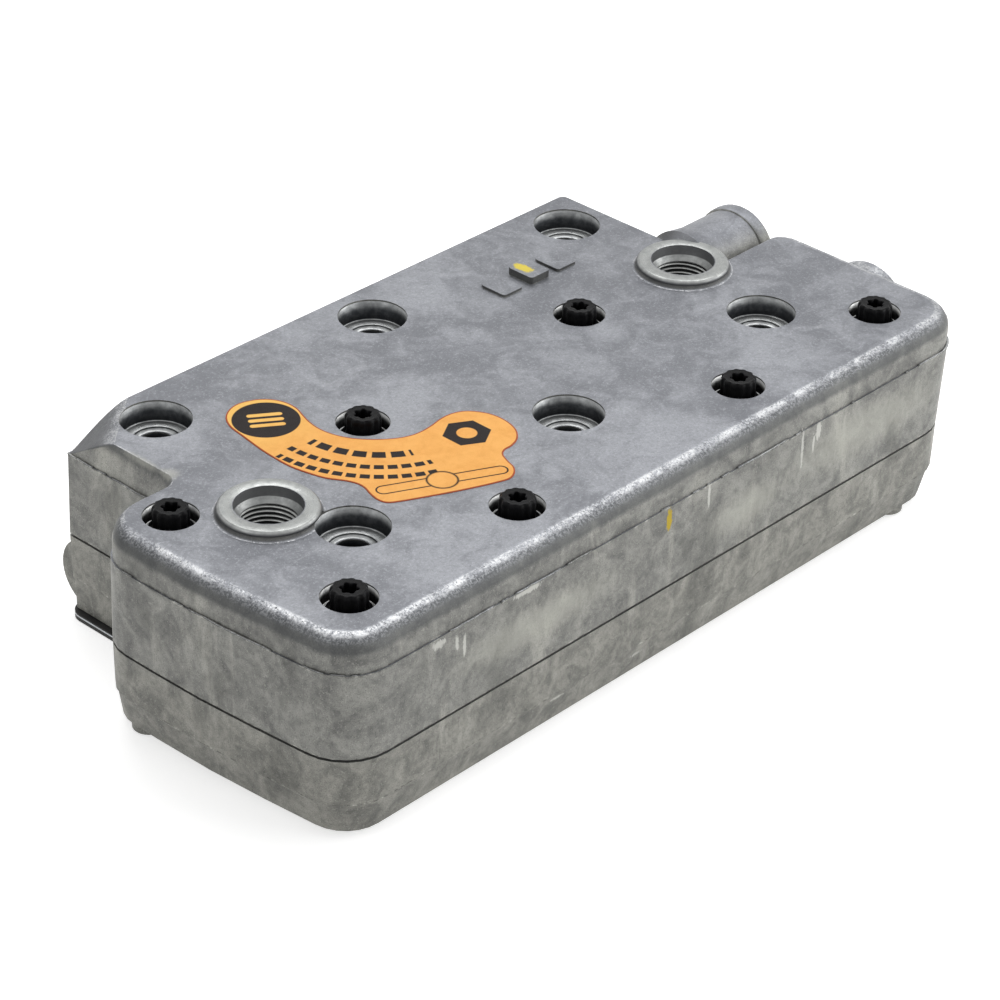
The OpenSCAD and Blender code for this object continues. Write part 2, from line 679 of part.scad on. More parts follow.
module water_jacket() {
    wall = foot_taper + wall_t;
    difference() {
        translate([0, 0, jacket_z]) linear_extrude(jacket_top_z - jacket_z)
            polygon(plan(wall, wall_t, facet_low_share));
        rounds(bolt_places, bolt_pillar_r, 0, joint_z);
        rounds(screw_places, screw_boss_r, 0, joint_z);
        for (s = sides) at_cylinder(s) {
            block([delivery_seat_x - seat_margin, delivery_front_y, 0],
                [delivery_seat_x + delivery_seat_l + seat_margin, -inner_screw_y, joint_z]);
            block([suction_seat_x - seat_margin, suction_y - suction_seat_w / 2 - seat_margin, 0],
                [suction_seat_x + suction_seat_l + seat_margin, suction_y + suction_seat_w / 2 + seat_margin,
                    joint_z]);
        }
    }
}

// Seats, ports and screw holes of one cylinder, cut from the lower casting
module valve_cuts() {
    pocket_z = leaf_top_z + seat_t;
    block([delivery_seat_x - seat_clear, -delivery_y - delivery_seat_w / 2 - seat_clear, joint_z - seat_t],
        [delivery_seat_x + delivery_seat_l + seat_clear, -delivery_y + delivery_seat_w / 2 + seat_clear,
            joint_z + over]);
    delivery_holes(lower_z - over, joint_z);
    for (x = stop_screw_xs) translate([x, -delivery_y, joint_z - seat_t - stop_screw_grip - end_gap])
        cylinder(r = stop_screw_r + screw_clear, h = stop_screw_grip + end_gap + over);
    block([suction_seat_x - seat_clear, suction_y - suction_seat_w / 2 - seat_clear, lower_z - over],
        [suction_seat_x + suction_seat_l + seat_clear, suction_y + suction_seat_w / 2 + seat_clear,
            pocket_z]);
    suction_duct(pocket_z - over, joint_z + over);
}

module delivery_holes(z0, z1) {
    for (i = [0:2]) translate([delivery_hole_x + i * hole_pitch, -delivery_y, z0])
        cylinder(r = delivery_hole_r, h = z1 - z0);
}

module plug_cuts() {
    for (y = plug_ys) translate([right_reach - foot_taper - wall_t - over, y, mid_lower_z])
        rotate([0, 90, 0]) cylinder(r = plug_r, h = foot_taper + wall_t + 2 * over);
    translate([gallery_end_x - 2 * plug_depth, gallery_y, mid_lower_z])
        rotate([0, 90, 0]) cylinder(r = plug_r, h = 2 * plug_depth + over);
    translate([-rear_left_reach + wall_t, gallery_y + gallery_bore_shift, mid_lower_z])
        rotate([0, 90, 0])
            cylinder(r = gallery_bore_r, h = rear_left_reach + gallery_end_x - wall_t - plug_depth);
}

// Where the two core plugs sit along the right side
plug_ys = [-right_shoulder_y - 2 * plug_r, -front_screw_y];

module rest_pads() {
    lug_r = sheet_corner_r;
    low = block_gasket_t / 2;
    translate([-left_reach + foot_taper + lug_r, -end_screw_y, low])
        cylinder(r = lug_r, h = lower_z - low + over);
    translate([right_corner_x, -front_reach + foot_taper + lug_r, low])
        cylinder(r = lug_r, h = lower_z - low + over);
}

module lower_head() {
    color("#8f918e") difference() {
        union() {
            lower_shell();
            rear_gallery();
            rest_pads();
        }
        water_jacket();
        for (s = sides) at_cylinder(s) valve_cuts();
        rounds(water_holes, water_hole_r, jacket_top_z - over, joint_z + over);
        rounds([port_right], water_hole_r, jacket_top_z - over, joint_z + over);
        rounds(bolt_places, bolt_hole_r, -over, joint_z + over);
        rounds(dowel_places, dowel_r + dowel_clear, joint_z - dowel_depth - dowel_end_gap, joint_z + over);
        rounds(screw_places, screw_r + screw_clear, screw_end_z - end_gap, joint_z + over);
        plug_cuts();
    }
}

// Flanged screw with an outer six-lobe head and a six-lobe recess, seat at the origin
module lobes(r, notch_r, notch_at) {
    difference() {
        circle(r = r);
        for (a = [0:60:300]) rotate(a) translate([notch_at, 0]) circle(r = notch_r);
    }
}

module clamp_screw() {
    notch_r = lobe_head_r / 4;
    cone_r = lobe_head_r + cone_w;
    recess_lobe_r = lobe_head_r / 6;
    recess_core_r = lobe_head_r / 2.4;
    translate([0, 0, screw_end_z - screw_seat_z]) cylinder(r = screw_r, h = screw_seat_z - screw_end_z);
    rotate_extrude() polygon([[0, 0], [flange_r, 0], [flange_r, flange_t], [cone_r, 2 * flange_t],
        [0, 2 * flange_t]]);
    difference() {
        translate([0, 0, flange_t]) linear_extrude(screw_head_h - flange_t)
            lobes(lobe_head_r, notch_r, lobe_head_r + notch_r / 2);
        translate([0, 0, screw_head_h / 2]) linear_extrude(screw_head_h) {
            circle(r = recess_core_r);
            for (a = [0:60:300]) rotate(a) translate([recess_core_r, 0]) circle(r = recess_lobe_r);
        }
    }
}

module clamp_screws() {
    color("#1b1b1d") for (p = screw_places) translate([p[0], p[1], screw_seat_z]) clamp_screw();
}

module dowel_sleeves() {
    color("#b9bbbd") for (p = dowel_places) translate([p[0], p[1], joint_z - dowel_depth]) difference() {
        cylinder(r = dowel_r, h = 2 * dowel_depth + head_gasket_t);
        translate([0, 0, -over]) cylinder(r = dowel_r - dowel_wall, h = 2 * (dowel_depth + over) + over);
    }
}

// Sheet-metal cup, open end towards +X, its rim at the origin
module core_plug() {
    rotate([0, 90, 0]) translate([0, 0, -plug_depth]) difference() {
        cylinder(r = plug_r - dowel_clear, h = plug_depth);
        translate([0, 0, plug_t]) cylinder(r = plug_r - plug_t, h = plug_depth);
    }
}

module core_plugs() {
    color("#a8a9a4") {
        for (y = plug_ys) translate([right_reach - foot_taper - plug_inset, y, mid_lower_z]) core_plug();
        translate([gallery_end_x - plug_inset, gallery_y, mid_lower_z]) core_plug();
    }
}

// Delivery valve: seat plate in the upper deck, reed held at its root under a stop
module delivery_seat(side) {
    color("#8b9096") at_cylinder(side) difference() {
        block([delivery_seat_x, -delivery_y - delivery_seat_w / 2, joint_z - seat_t],
            [delivery_seat_x + delivery_seat_l, -delivery_y + delivery_seat_w / 2, joint_z]);
        delivery_holes(joint_z - 2 * seat_t, joint_z + over);
        stop_holes(joint_z - 2 * seat_t, joint_z + over);
    }
}

module stop_holes(z0, z1) {
    for (x = stop_screw_xs) translate([x, -delivery_y, z0])
        cylinder(r = stop_screw_r + screw_clear, h = z1 - z0);
}

module delivery_root(side) {
    color("#c3c6c9") at_cylinder(side) difference() {
        block([delivery_clamp_x, -delivery_y - delivery_reed_w / 2, joint_z],
            [delivery_clamp_x + delivery_root_l, -delivery_y + delivery_reed_w / 2,
                joint_z + delivery_reed_t]);
        stop_holes(joint_z - over, joint_z + 2 * over);
    }
}

module delivery_reed(side) {
    tip_r = delivery_reed_w / 2;
    color("#c3c6c9") at_cylinder(side) translate([0, -delivery_y, joint_z + reed_gap])
        linear_extrude(delivery_reed_t - reed_gap) {
            translate([delivery_tip_x + tip_r, -tip_r])
                square([delivery_reed_l - tip_r - reed_slit, delivery_reed_w]);
            translate([delivery_tip_x + tip_r, 0]) circle(r = tip_r);
        }
}

module delivery_stop(side) {
    low = joint_z + delivery_reed_t;
    inner_x = delivery_clamp_x - reed_slit;
    color("#6e7276") at_cylinder(side) difference() {
        translate([0, -delivery_y + delivery_reed_w / 2, 0]) rotate([90, 0, 0])
            linear_extrude(delivery_reed_w)
                polygon([[delivery_tip_x, low + stop_rise], [stop_bend_x, low],
                    [delivery_clamp_x + delivery_root_l, low],
                    [delivery_clamp_x + delivery_root_l, low + stop_t], [inner_x, low + stop_t],
                    [delivery_tip_x + stop_t / 2, low + stop_rise + stop_t],
                    [delivery_tip_x, low + stop_rise + stop_t / 2]]);
        stop_holes(joint_z, low + 2 * stop_t);
    }
}

module stop_screw() {
    length = stop_t + delivery_reed_t + seat_t + stop_screw_grip;
    cylinder(r = stop_head_r, h = stop_head_h, $fn = 6);
    translate([0, 0, -length]) cylinder(r = stop_screw_r, h = length);
}

module delivery_screws() {
    color("#3b3c3e") for (s = sides) at_cylinder(s) for (x = stop_screw_xs)
        translate([x, -delivery_y, joint_z + delivery_reed_t + stop_t]) stop_screw();
}

// Suction valve: seat plate let into the underside, reed cut from the sheet below it
module suction_seat(side) {
    color("#8b9096") at_cylinder(side) difference() {
        block([suction_seat_x, suction_y - suction_seat_w / 2, leaf_top_z],
            [suction_seat_x + suction_seat_l, suction_y + suction_seat_w / 2, leaf_top_z + seat_t]);
        for (i = [0:2]) translate([suction_hole_x + i * hole_pitch, suction_y, leaf_top_z - over])
            cylinder(r = suction_hole_r, h = seat_t + 2 * over);
    }
}

module suction_reed(side) {
    tip_r = suction_reed_w / 2;
    color("#c3c6c9") at_cylinder(side) translate([0, suction_y, sheet_z])
        linear_extrude(leaf_t - reed_gap) {
            translate([suction_tip_x + tip_r, -tip_r])
                square([suction_reed_l - tip_r - reed_slit, suction_reed_w]);
            translate([suction_tip_x + tip_r, 0]) circle(r = tip_r);
        }
}

// Flat sheet towards the block, with its bolt holes and a window under each cylinder
module block_sheet(z, t) {
    translate([0, 0, z]) difference() {
        linear_extrude(t) polygon(box_outline([-block_left_x, block_right_x, -block_front_y, block_rear_y],
            sheet_corner_r));
        for (s = sides) translate([s * cylinder_x, 0, -over])
            cylinder(r = cylinder_r + cylinder_clear, h = t + 2 * over);
        rounds(bolt_places, bolt_hole_r + screw_clear, -over, t + over);
    }
}

module leaf_gasket() {
    color("#1c1c1e") block_sheet(leaf_top_z, leaf_gasket_t);
}

module suction_leaf_sheet() {
    color("#b4b7ba") {
        block_sheet(sheet_z, leaf_t);
        for (s = sides) at_cylinder(s)
            block([suction_root_x, suction_y - suction_reed_w / 2, sheet_z],
                [cylinder_r + root_lap, suction_y + suction_reed_w / 2, leaf_top_z]);
    }
}

module block_gasket() {
    color("#1c1c1e") block_sheet(0, block_gasket_t);
}

module label() {
    color("#f0a35a") translate([0, 0, top_z]) linear_extrude(label_t) {
        polygon(rounded([for (s = label_shares)
            [label_x + s[0] * label_l, label_y + s[1] * label_w, s[2] * label_l]]));
        translate([label_x + label_lobe_shares[0] * label_l, label_y + label_lobe_shares[1] * label_w])
            circle(r = label_lobe_r_share * label_l);
    }
}

upper_head();
head_gasket();
lower_head();
clamp_screws();
dowel_sleeves();
core_plugs();
delivery_seat(-1);  // delivery_seat_1
delivery_seat(1);  // delivery_seat_2
delivery_root(-1);  // delivery_root_1
delivery_root(1);  // delivery_root_2
delivery_reed(-1);  // delivery_reed_1
delivery_reed(1);  // delivery_reed_2
delivery_stop(-1);  // delivery_stop_1
delivery_stop(1);  // delivery_stop_2
delivery_screws();
suction_seat(-1);  // suction_seat_1
suction_seat(1);  // suction_seat_2
leaf_gasket();
suction_leaf_sheet();
suction_reed(-1);  // suction_reed_1
suction_reed(1);  // suction_reed_2
block_gasket();
label();
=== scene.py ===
"""Finishes, fine pieces, studio and camera for a compressor cylinder head.

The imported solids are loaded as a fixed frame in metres: the origin lies on the block face,
midway between the head-bolt holes, +X runs towards the hose stub, +Y to the rear and +Z up.
Each sub-assembly below is a class that holds its sizes in millimetres, builds its surfaces
with numpy and dresses them. Every pattern reads Object coordinates or a piece's own UV map.
"""

from __future__ import annotations

import json
import logging
import math
from dataclasses import dataclass
from enum import Enum

import bmesh
import bpy
import numpy as np
from mathutils import Matrix, Vector

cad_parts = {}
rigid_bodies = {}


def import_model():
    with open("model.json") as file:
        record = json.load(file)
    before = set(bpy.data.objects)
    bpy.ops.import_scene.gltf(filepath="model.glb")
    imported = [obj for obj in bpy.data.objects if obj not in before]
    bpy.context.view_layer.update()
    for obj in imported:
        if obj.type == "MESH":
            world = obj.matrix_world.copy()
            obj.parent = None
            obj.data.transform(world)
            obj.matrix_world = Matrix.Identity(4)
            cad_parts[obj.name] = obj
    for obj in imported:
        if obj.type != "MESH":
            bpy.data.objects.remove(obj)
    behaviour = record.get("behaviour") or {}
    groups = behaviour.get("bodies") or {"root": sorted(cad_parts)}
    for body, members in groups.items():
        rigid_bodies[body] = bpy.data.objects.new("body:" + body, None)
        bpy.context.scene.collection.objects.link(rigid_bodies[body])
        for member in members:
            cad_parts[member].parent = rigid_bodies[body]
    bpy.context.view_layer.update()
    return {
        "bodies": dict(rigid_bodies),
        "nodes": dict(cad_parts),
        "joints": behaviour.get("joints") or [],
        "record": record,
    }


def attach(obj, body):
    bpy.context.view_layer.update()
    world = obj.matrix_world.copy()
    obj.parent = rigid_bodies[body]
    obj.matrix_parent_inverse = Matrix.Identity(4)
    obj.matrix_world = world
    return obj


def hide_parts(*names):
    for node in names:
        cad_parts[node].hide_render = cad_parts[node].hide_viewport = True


log = logging.getLogger("cylinder_head")

MM = 0.001
ROOT = "head"

# Levels of the castings and their joints, in millimetres above the block face
LOWER_Z = 2.3
FOOT_Z = 13.3
JOINT_Z = 27.9
UPPER_Z = 28.7
RIM_Z = 55.3
TOP_Z = 65.8

# Outer faces of the castings, in millimetres from the middle of the bolt pattern
FRONT_Y, REAR_Y = -83.8, 57.0
LEFT_X, RIGHT_X = -137.3, 134.0
REAR_LEFT_X, REAR_RIGHT_X = -107.5, 104.0
LEFT_SHOULDER_Y, RIGHT_SHOULDER_Y = 12.5, -9.0

BOLTS = [(x, y) for x in (-87.4, 0.0, 87.4) for y in (-40.0, 40.0)]
SCREWS = [(-119.2, -1.4), (-46.3, -2.4), (46.3, -2.4),
          (-112.7, -64.0), (-47.6, -64.0), (47.6, -64.0), (112.7, -64.0)]
COOLANT_PORTS = [(-99.3, -19.2), (91.8, -4.7)]
DELIVERY_PORT = (-43.5, 50.3)

Colour = tuple[float, float, float, float]
Point = tuple[float, float]
Solid = tuple[float, float, float]
Socket = bpy.types.NodeSocket


class Axis(Enum):
    """Direction of a bore, with the places of its length and of its two cross directions."""

    X = (0, 1, 2)
    Z = (2, 0, 1)


class Wrap(Enum):
    """Whether a grid, whose rows are rings, also closes from its last row to its first."""

    ROUND = False
    RING = True


def rgb(r: int, g: int, b: int) -> Colour:
    """Linear colour of a display colour.

    Args:
        r: red, 0 to 255.
        g: green, 0 to 255.
        b: blue, 0 to 255.

    Returns:
        The linear red, green, blue and an alpha of one.
    """
    def channel(value: int) -> float:
        """One channel by the display standard's curve."""
        share = value / 255.0
        return share / 12.92 if share <= 0.04045 else ((share + 0.055) / 1.055) ** 2.4

    return channel(r), channel(g), channel(b), 1.0


# ---- geometry by numpy


def ripple(u: np.ndarray, seed: int, octaves: int = 5, base: float = 1.0) -> np.ndarray:
    """Smooth irregular waves, the sum of sines whose pitch and phase come from a seed.

    Args:
        u: positions along the piece.
        seed: number that fixes the phases.
        octaves: how many sines are added, each about twice as fine.
        base: waves per unit of the first sine.

    Returns:
        Values of about -1 to 1, one for each position.
    """
    rng = np.random.default_rng(seed)
    total, weight = np.zeros_like(u, dtype=float), 0.0
    for k in range(octaves):
        pitch = base * 2.03 ** k * rng.uniform(0.85, 1.15)
        share = 0.62 ** k
        total += share * np.sin(2 * np.pi * pitch * u + rng.uniform(0, 2 * np.pi))
        weight += share
    return total / weight


def rounded(corners: list[Solid], pitch: float) -> np.ndarray:
    """Closed outline through rounded corners, with points along arcs and straights.

    Each corner is an arc of its radius that touches both neighbouring sides, and a straight
    side between two arcs is divided evenly.

    Args:
        corners: x, y and radius of each corner, anticlockwise.
        pitch: greatest distance between two points.

    Returns:
        Points of shape (n, 2).
    """
    points = np.array([c[:2] for c in corners], float)
    ends = []
    for i, (x, y, r) in enumerate(corners):
        p = points[i]
        u, v = points[i - 1] - p, points[(i + 1) % len(points)] - p
        u, v = u / np.linalg.norm(u), v / np.linalg.norm(v)
        half = math.acos(float(np.clip(u @ v, -1, 1))) / 2
        reach = r / math.tan(half)
        centre = p + (u + v) / np.linalg.norm(u + v) * r / math.sin(half)
        a, b = p + u * reach - centre, p + v * reach - centre
        turn = math.atan2(a[0] * b[1] - a[1] * b[0], a @ b)
        n = max(2, int(abs(turn) * r / pitch) + 1)
        t = math.atan2(a[1], a[0]) + turn * np.linspace(0, 1, n)
        ends.append(centre + r * np.stack([np.cos(t), np.sin(t)], 1))
    out = []
    for i, arc in enumerate(ends):
        out.append(arc)
        gap = ends[(i + 1) % len(ends)][0] - arc[-1]
        n = int(np.linalg.norm(gap) / pitch)
        if n > 1:
            out.append(arc[-1] + gap * (np.arange(1, n) / n)[:, None])
    return np.concatenate(out)


def plan(f: float, s: float, lean: float = 0.0, pitch: float = 0.8) -> np.ndarray:
    """Outline of both castings below the corner facet, drawn in by f in front and s behind.

    Args:
        f: inset of the front and the two sides.
        s: inset of the rear part.
        lean: how far the right side leans out at this height.
        pitch: greatest distance between two points.

    Returns:
        Points of shape (n, 2), anticlockwise.
    """
    cut, mean = 0.04, (f + s) / 2
    front, rear, left, right = FRONT_Y + f, REAR_Y - s, LEFT_X + f, RIGHT_X + lean - f
    rear_left, rear_right, corner_r = REAR_LEFT_X + s, REAR_RIGHT_X - s, 2 * (0.4 + 0.6 * cut)
    return rounded([
        (-132.2 + f, front, 16 - f), (right, front, 16 - f),
        (right, RIGHT_SHOULDER_Y - s, 8.5 - mean), (rear_right, RIGHT_SHOULDER_Y - s, 5),
        (rear_right, rear, 2), (rear_left + cut * 20, rear, corner_r),
        (rear_left, rear - cut * 17, corner_r), (rear_left, LEFT_SHOULDER_Y - s, 5),
        (left, LEFT_SHOULDER_Y - s, 14 - mean), (left, -31, 400)], pitch)


def outward(line: np.ndarray) -> np.ndarray:
    """Unit normals of a closed outline: the step between both neighbours, turned clockwise.

    Args:
        line: points of shape (n, 2), anticlockwise.

    Returns:
        Normals of the same shape, which point out of the outline.
    """
    along = np.roll(line, -1, axis=0) - np.roll(line, 1, axis=0)
    along /= np.linalg.norm(along, axis=1)[:, None]
    return np.stack([along[:, 1], -along[:, 0]], 1)


def grid_mesh(name: str, points: np.ndarray, wrap: Wrap, caps: bool = False) -> bpy.types.Mesh:
    """Mesh of a grid of points, whose rows are rings, with a UV map round and along the grid.

    A quad stands between each four neighbours.

    Args:
        name: name of the mesh.
        points: positions in millimetres, of shape (rows, columns, 3).
        wrap: whether the last row joins the first.
        caps: whether the first and last row are closed with one face each.

    Returns:
        The mesh, in metres, with smooth faces.
    """
    rows, cols = points.shape[:2]
    i = np.arange(rows if wrap.value else rows - 1)[:, None]
    j = np.arange(cols)[None, :]
    i2, j2 = (i + 1) % rows, (j + 1) % cols
    quads = np.stack([i * cols + j, i * cols + j2, i2 * cols + j2, i2 * cols + j], -1).reshape(-1, 4)
    faces = quads.tolist()
    if caps:
        faces += [list(range(cols))[::-1], list(range((rows - 1) * cols, rows * cols))]
    mesh = bpy.data.meshes.new(name)
    mesh.from_pydata((points.reshape(-1, 3) * MM).tolist(), [], faces)
    step = np.linalg.norm(np.diff(points[:, 0], axis=0), axis=1)
    along = np.concatenate([[0.0], np.cumsum(step)])
    corner = np.zeros(len(mesh.loops), np.int32)
    mesh.loops.foreach_get("vertex_index", corner)
    row, col = np.divmod(corner, cols)
    uv = mesh.uv_layers.new(name="along")
    uv.data.foreach_set("uv", np.stack([col / cols, along[row] / 100], 1).astype(np.float32).ravel())
    mesh.polygons.foreach_set("use_smooth", np.ones(len(mesh.polygons), bool))
    mesh.update()
    return mesh


def lathe(profile: np.ndarray, centre: Point, steps: int = 96) -> np.ndarray:
    """Grid of a profile of radius and height turned about a vertical axis.

    Args:
        profile: radius and height of each row, of shape (n, 2).
        centre: x and y of the axis.
        steps: points round the axis.

    Returns:
        Points of shape (n, steps, 3): x and y are the centre plus radius times cosine and sine.
    """
    t = np.linspace(0, 2 * np.pi, steps, endpoint=False)
    r, z = profile[:, 0][:, None], profile[:, 1][:, None]
    return np.stack([centre[0] + r * np.cos(t), centre[1] + r * np.sin(t), z + 0 * t], -1)


def join(name: str, meshes: list[bpy.types.Mesh]) -> bpy.types.Object:
    """One object at the origin that holds several meshes, with faces turned outwards.

    Args:
        name: name of the object.
        meshes: meshes in metres, which are removed once joined.

    Returns:
        The new object, linked to the scene.
    """
    bm = bmesh.new()
    for mesh in meshes:
        bm.from_mesh(mesh)
    bmesh.ops.recalc_face_normals(bm, faces=bm.faces)
    whole = bpy.data.meshes.new(name)
    bm.to_mesh(whole)
    bm.free()
    for mesh in meshes:
        bpy.data.meshes.remove(mesh)
    piece = bpy.data.objects.new(name, whole)
    bpy.context.scene.collection.objects.link(piece)
    return piece


def place(piece: bpy.types.Object, material: bpy.types.Material, slot: str,
          *nodes: str) -> bpy.types.Object:
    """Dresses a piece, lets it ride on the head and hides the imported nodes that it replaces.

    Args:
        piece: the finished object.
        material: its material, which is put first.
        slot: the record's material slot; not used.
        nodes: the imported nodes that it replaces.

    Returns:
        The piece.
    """
    if not piece.data.materials:
        piece.data.materials.append(material)
    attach(piece, ROOT)
    if nodes:
        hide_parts(*nodes)
    log.info("%s: %d faces", piece.name, len(piece.data.polygons))
    return piece


# ---- materials


class Graph:
    """Adds nodes to one node tree, wiring sockets or plain values into their inputs."""

    def __init__(self, tree: bpy.types.NodeTree) -> None:
        """Starts on a tree."""
        self.tree = tree

    def add(self, kind: str, inputs: dict | None = None, **settings: object) -> bpy.types.Node:
        """Adds one node.

        Args:
            kind: Blender's name of the node type.
            inputs: socket name or number, to a socket or a value.
            settings: properties of the node.

        Returns:
            The node.
        """
        node = self.tree.nodes.new(kind)
        for key, value in settings.items():
            setattr(node, key, value)
        self.feed(node, inputs or {})
        return node

    def feed(self, node: bpy.types.Node, inputs: dict) -> None:
        """Wires sockets into a node's inputs, and sets plain values on them.

        Args:
            node: the node.
            inputs: socket name or number, to a socket or a value.
        """
        for key, value in inputs.items():
            if isinstance(value, Socket):
                self.tree.links.new(value, node.inputs[key])
            else:
                node.inputs[key].default_value = value

    def math(self, op: str, a: object, b: object = 0.0, clamp: bool = False) -> Socket:
        """Result of a Math node on a and b."""
        return self.add("ShaderNodeMath", {0: a, 1: b}, operation=op, use_clamp=clamp).outputs[0]

    def product(self, first: object, *others: object) -> Socket:
        """Product of all values, multiplied from left to right."""
        for value in others:
            first = self.math("MULTIPLY", first, value)
        return first

    def total(self, *parts: tuple[object, float], base: float = 0.0) -> Socket:
        """Sum of a base and of each value times its share."""
        for value, share in parts:
            base = self.math("ADD", base, self.math("MULTIPLY", value, share))
        return base

    def inverse(self, value: object) -> Socket:
        """One less a value."""
        return self.math("SUBTRACT", 1.0, value)

    def span(self, value: object, low: float, high: float,
             to_low: float = 0.0, to_high: float = 1.0) -> Socket:
        """Smooth step of a value from one range to another."""
        return self.add("ShaderNodeMapRange", {0: value, 1: low, 2: high, 3: to_low, 4: to_high},
                        interpolation_type="SMOOTHSTEP").outputs[0]

    def near(self, value: object, level: object, half: float) -> Socket:
        """One at a level, falling to zero at half a band's width from it."""
        far = self.math("ABSOLUTE", self.math("SUBTRACT", value, level))
        return self.span(far, 0.0, half, 1.0, 0.0)

    def split(self, vector: Socket) -> tuple[Socket, Socket, Socket]:
        """The three coordinates of a vector."""
        return tuple(self.add("ShaderNodeSeparateXYZ", {0: vector}).outputs)

    def stretch(self, vector: Socket, x: float, y: float, z: float) -> Socket:
        """Vector multiplied by three factors."""
        return self.add("ShaderNodeVectorMath", {0: vector, 1: (x, y, z)},
                        operation="MULTIPLY").outputs[0]

    def offset(self, vector: Socket, centre: Solid) -> Socket:
        """Vector less a fixed point."""
        return self.add("ShaderNodeVectorMath", {0: vector, 1: centre}, operation="SUBTRACT").outputs[0]

    def length(self, vector: Socket) -> Socket:
        """Length of a vector."""
        return self.add("ShaderNodeVectorMath", {0: vector}, operation="LENGTH").outputs["Value"]

    def turn(self, vector: Socket, angle: float) -> Socket:
        """Vector turned about the upright axis."""
        return self.add("ShaderNodeVectorRotate", {"Vector": vector, "Angle": angle},
                        rotation_type="Z_AXIS").outputs[0]

    def reach(self, vector: Socket, centre: Solid, half: Solid) -> Socket:
        """Distance from a point in units of an ellipsoid's half widths, one on its surface."""
        return self.length(self.stretch(self.offset(vector, centre), *(1 / size for size in half)))

    def noise(self, vector: Socket, scale: object, detail: float = 3.0, rough: float = 0.55,
              twist: float = 0.0) -> Socket:
        """Value of a Noise texture."""
        return self.add("ShaderNodeTexNoise", {
            "Vector": vector, "Scale": scale, "Detail": detail, "Roughness": rough,
            "Distortion": twist}).outputs[0]

    def mix(self, share: object, a: object, b: object) -> Socket:
        """Colour a with colour b laid over it by a share."""
        return self.add("ShaderNodeMix", {0: share, 6: a, 7: b}, data_type="RGBA").outputs[2]

    def lay(self, colour: object, tint: object, strength: float, *masks: object) -> Socket:
        """Colour with a tint laid over it by the product of its masks and a strength."""
        return self.mix(self.math("MULTIPLY", self.product(*masks), strength), colour, tint)


def new_group(name: str, inputs: list[tuple[str, str]], outputs: list[tuple[str, str]]
              ) -> tuple[bpy.types.NodeTree, bpy.types.Node, bpy.types.Node]:
    """Empty shader node group with named sockets.

    Args:
        name: name of the group.
        inputs: name and socket type of each input.
        outputs: name and socket type of each output.

    Returns:
        The group, its input node and its output node.
    """
    tree = bpy.data.node_groups.new(name, "ShaderNodeTree")
    for label, kind in inputs:
        tree.interface.new_socket(label, in_out="INPUT", socket_type=kind)
    for label, kind in outputs:
        tree.interface.new_socket(label, in_out="OUTPUT", socket_type=kind)
    return tree, tree.nodes.new("NodeGroupInput"), tree.nodes.new("NodeGroupOutput")


FLOAT, COLOR, VECTOR = "NodeSocketFloat", "NodeSocketColor", "NodeSocketVector"


@dataclass(frozen=True)
class CastTints:
    """Tints of dirt, wear, bare metal and painted shade that all castings share."""

    dust: Colour = rgb(176, 176, 168)
    chalk: Colour = rgb(178, 177, 169)
    soot: Colour = rgb(66, 67, 64)
    pores: Colour = rgb(66, 67, 63)
    smear: Colour = rgb(160, 162, 165)
    dark_speck: Colour = rgb(96, 98, 102)
    pale_speck: Colour = rgb(176, 178, 182)
    crystal: Colour = rgb(180, 180, 172)
    pit: Colour = rgb(58, 58, 58)
    streak: Colour = rgb(222, 222, 216)
    scratch: Colour = rgb(214, 216, 220)
    # painted shade on the sloping middle of the fillets
    fillet_shade: Colour = rgb(64, 66, 68)
    haze: Colour = rgb(176, 178, 181)
    rubbed: Colour = rgb(208, 209, 210)
    fleck: Colour = rgb(52, 52, 54)
    # painted shade on the steep sides of what stands on the top face
    foot_shade: Colour = rgb(62, 63, 65)
    seam_dirt: Colour = rgb(66, 65, 61)
    seam_chip: Colour = rgb(190, 190, 182)
    stain: Colour = rgb(170, 170, 161)
    torn: Colour = rgb(196, 196, 190)


TINTS = CastTints()


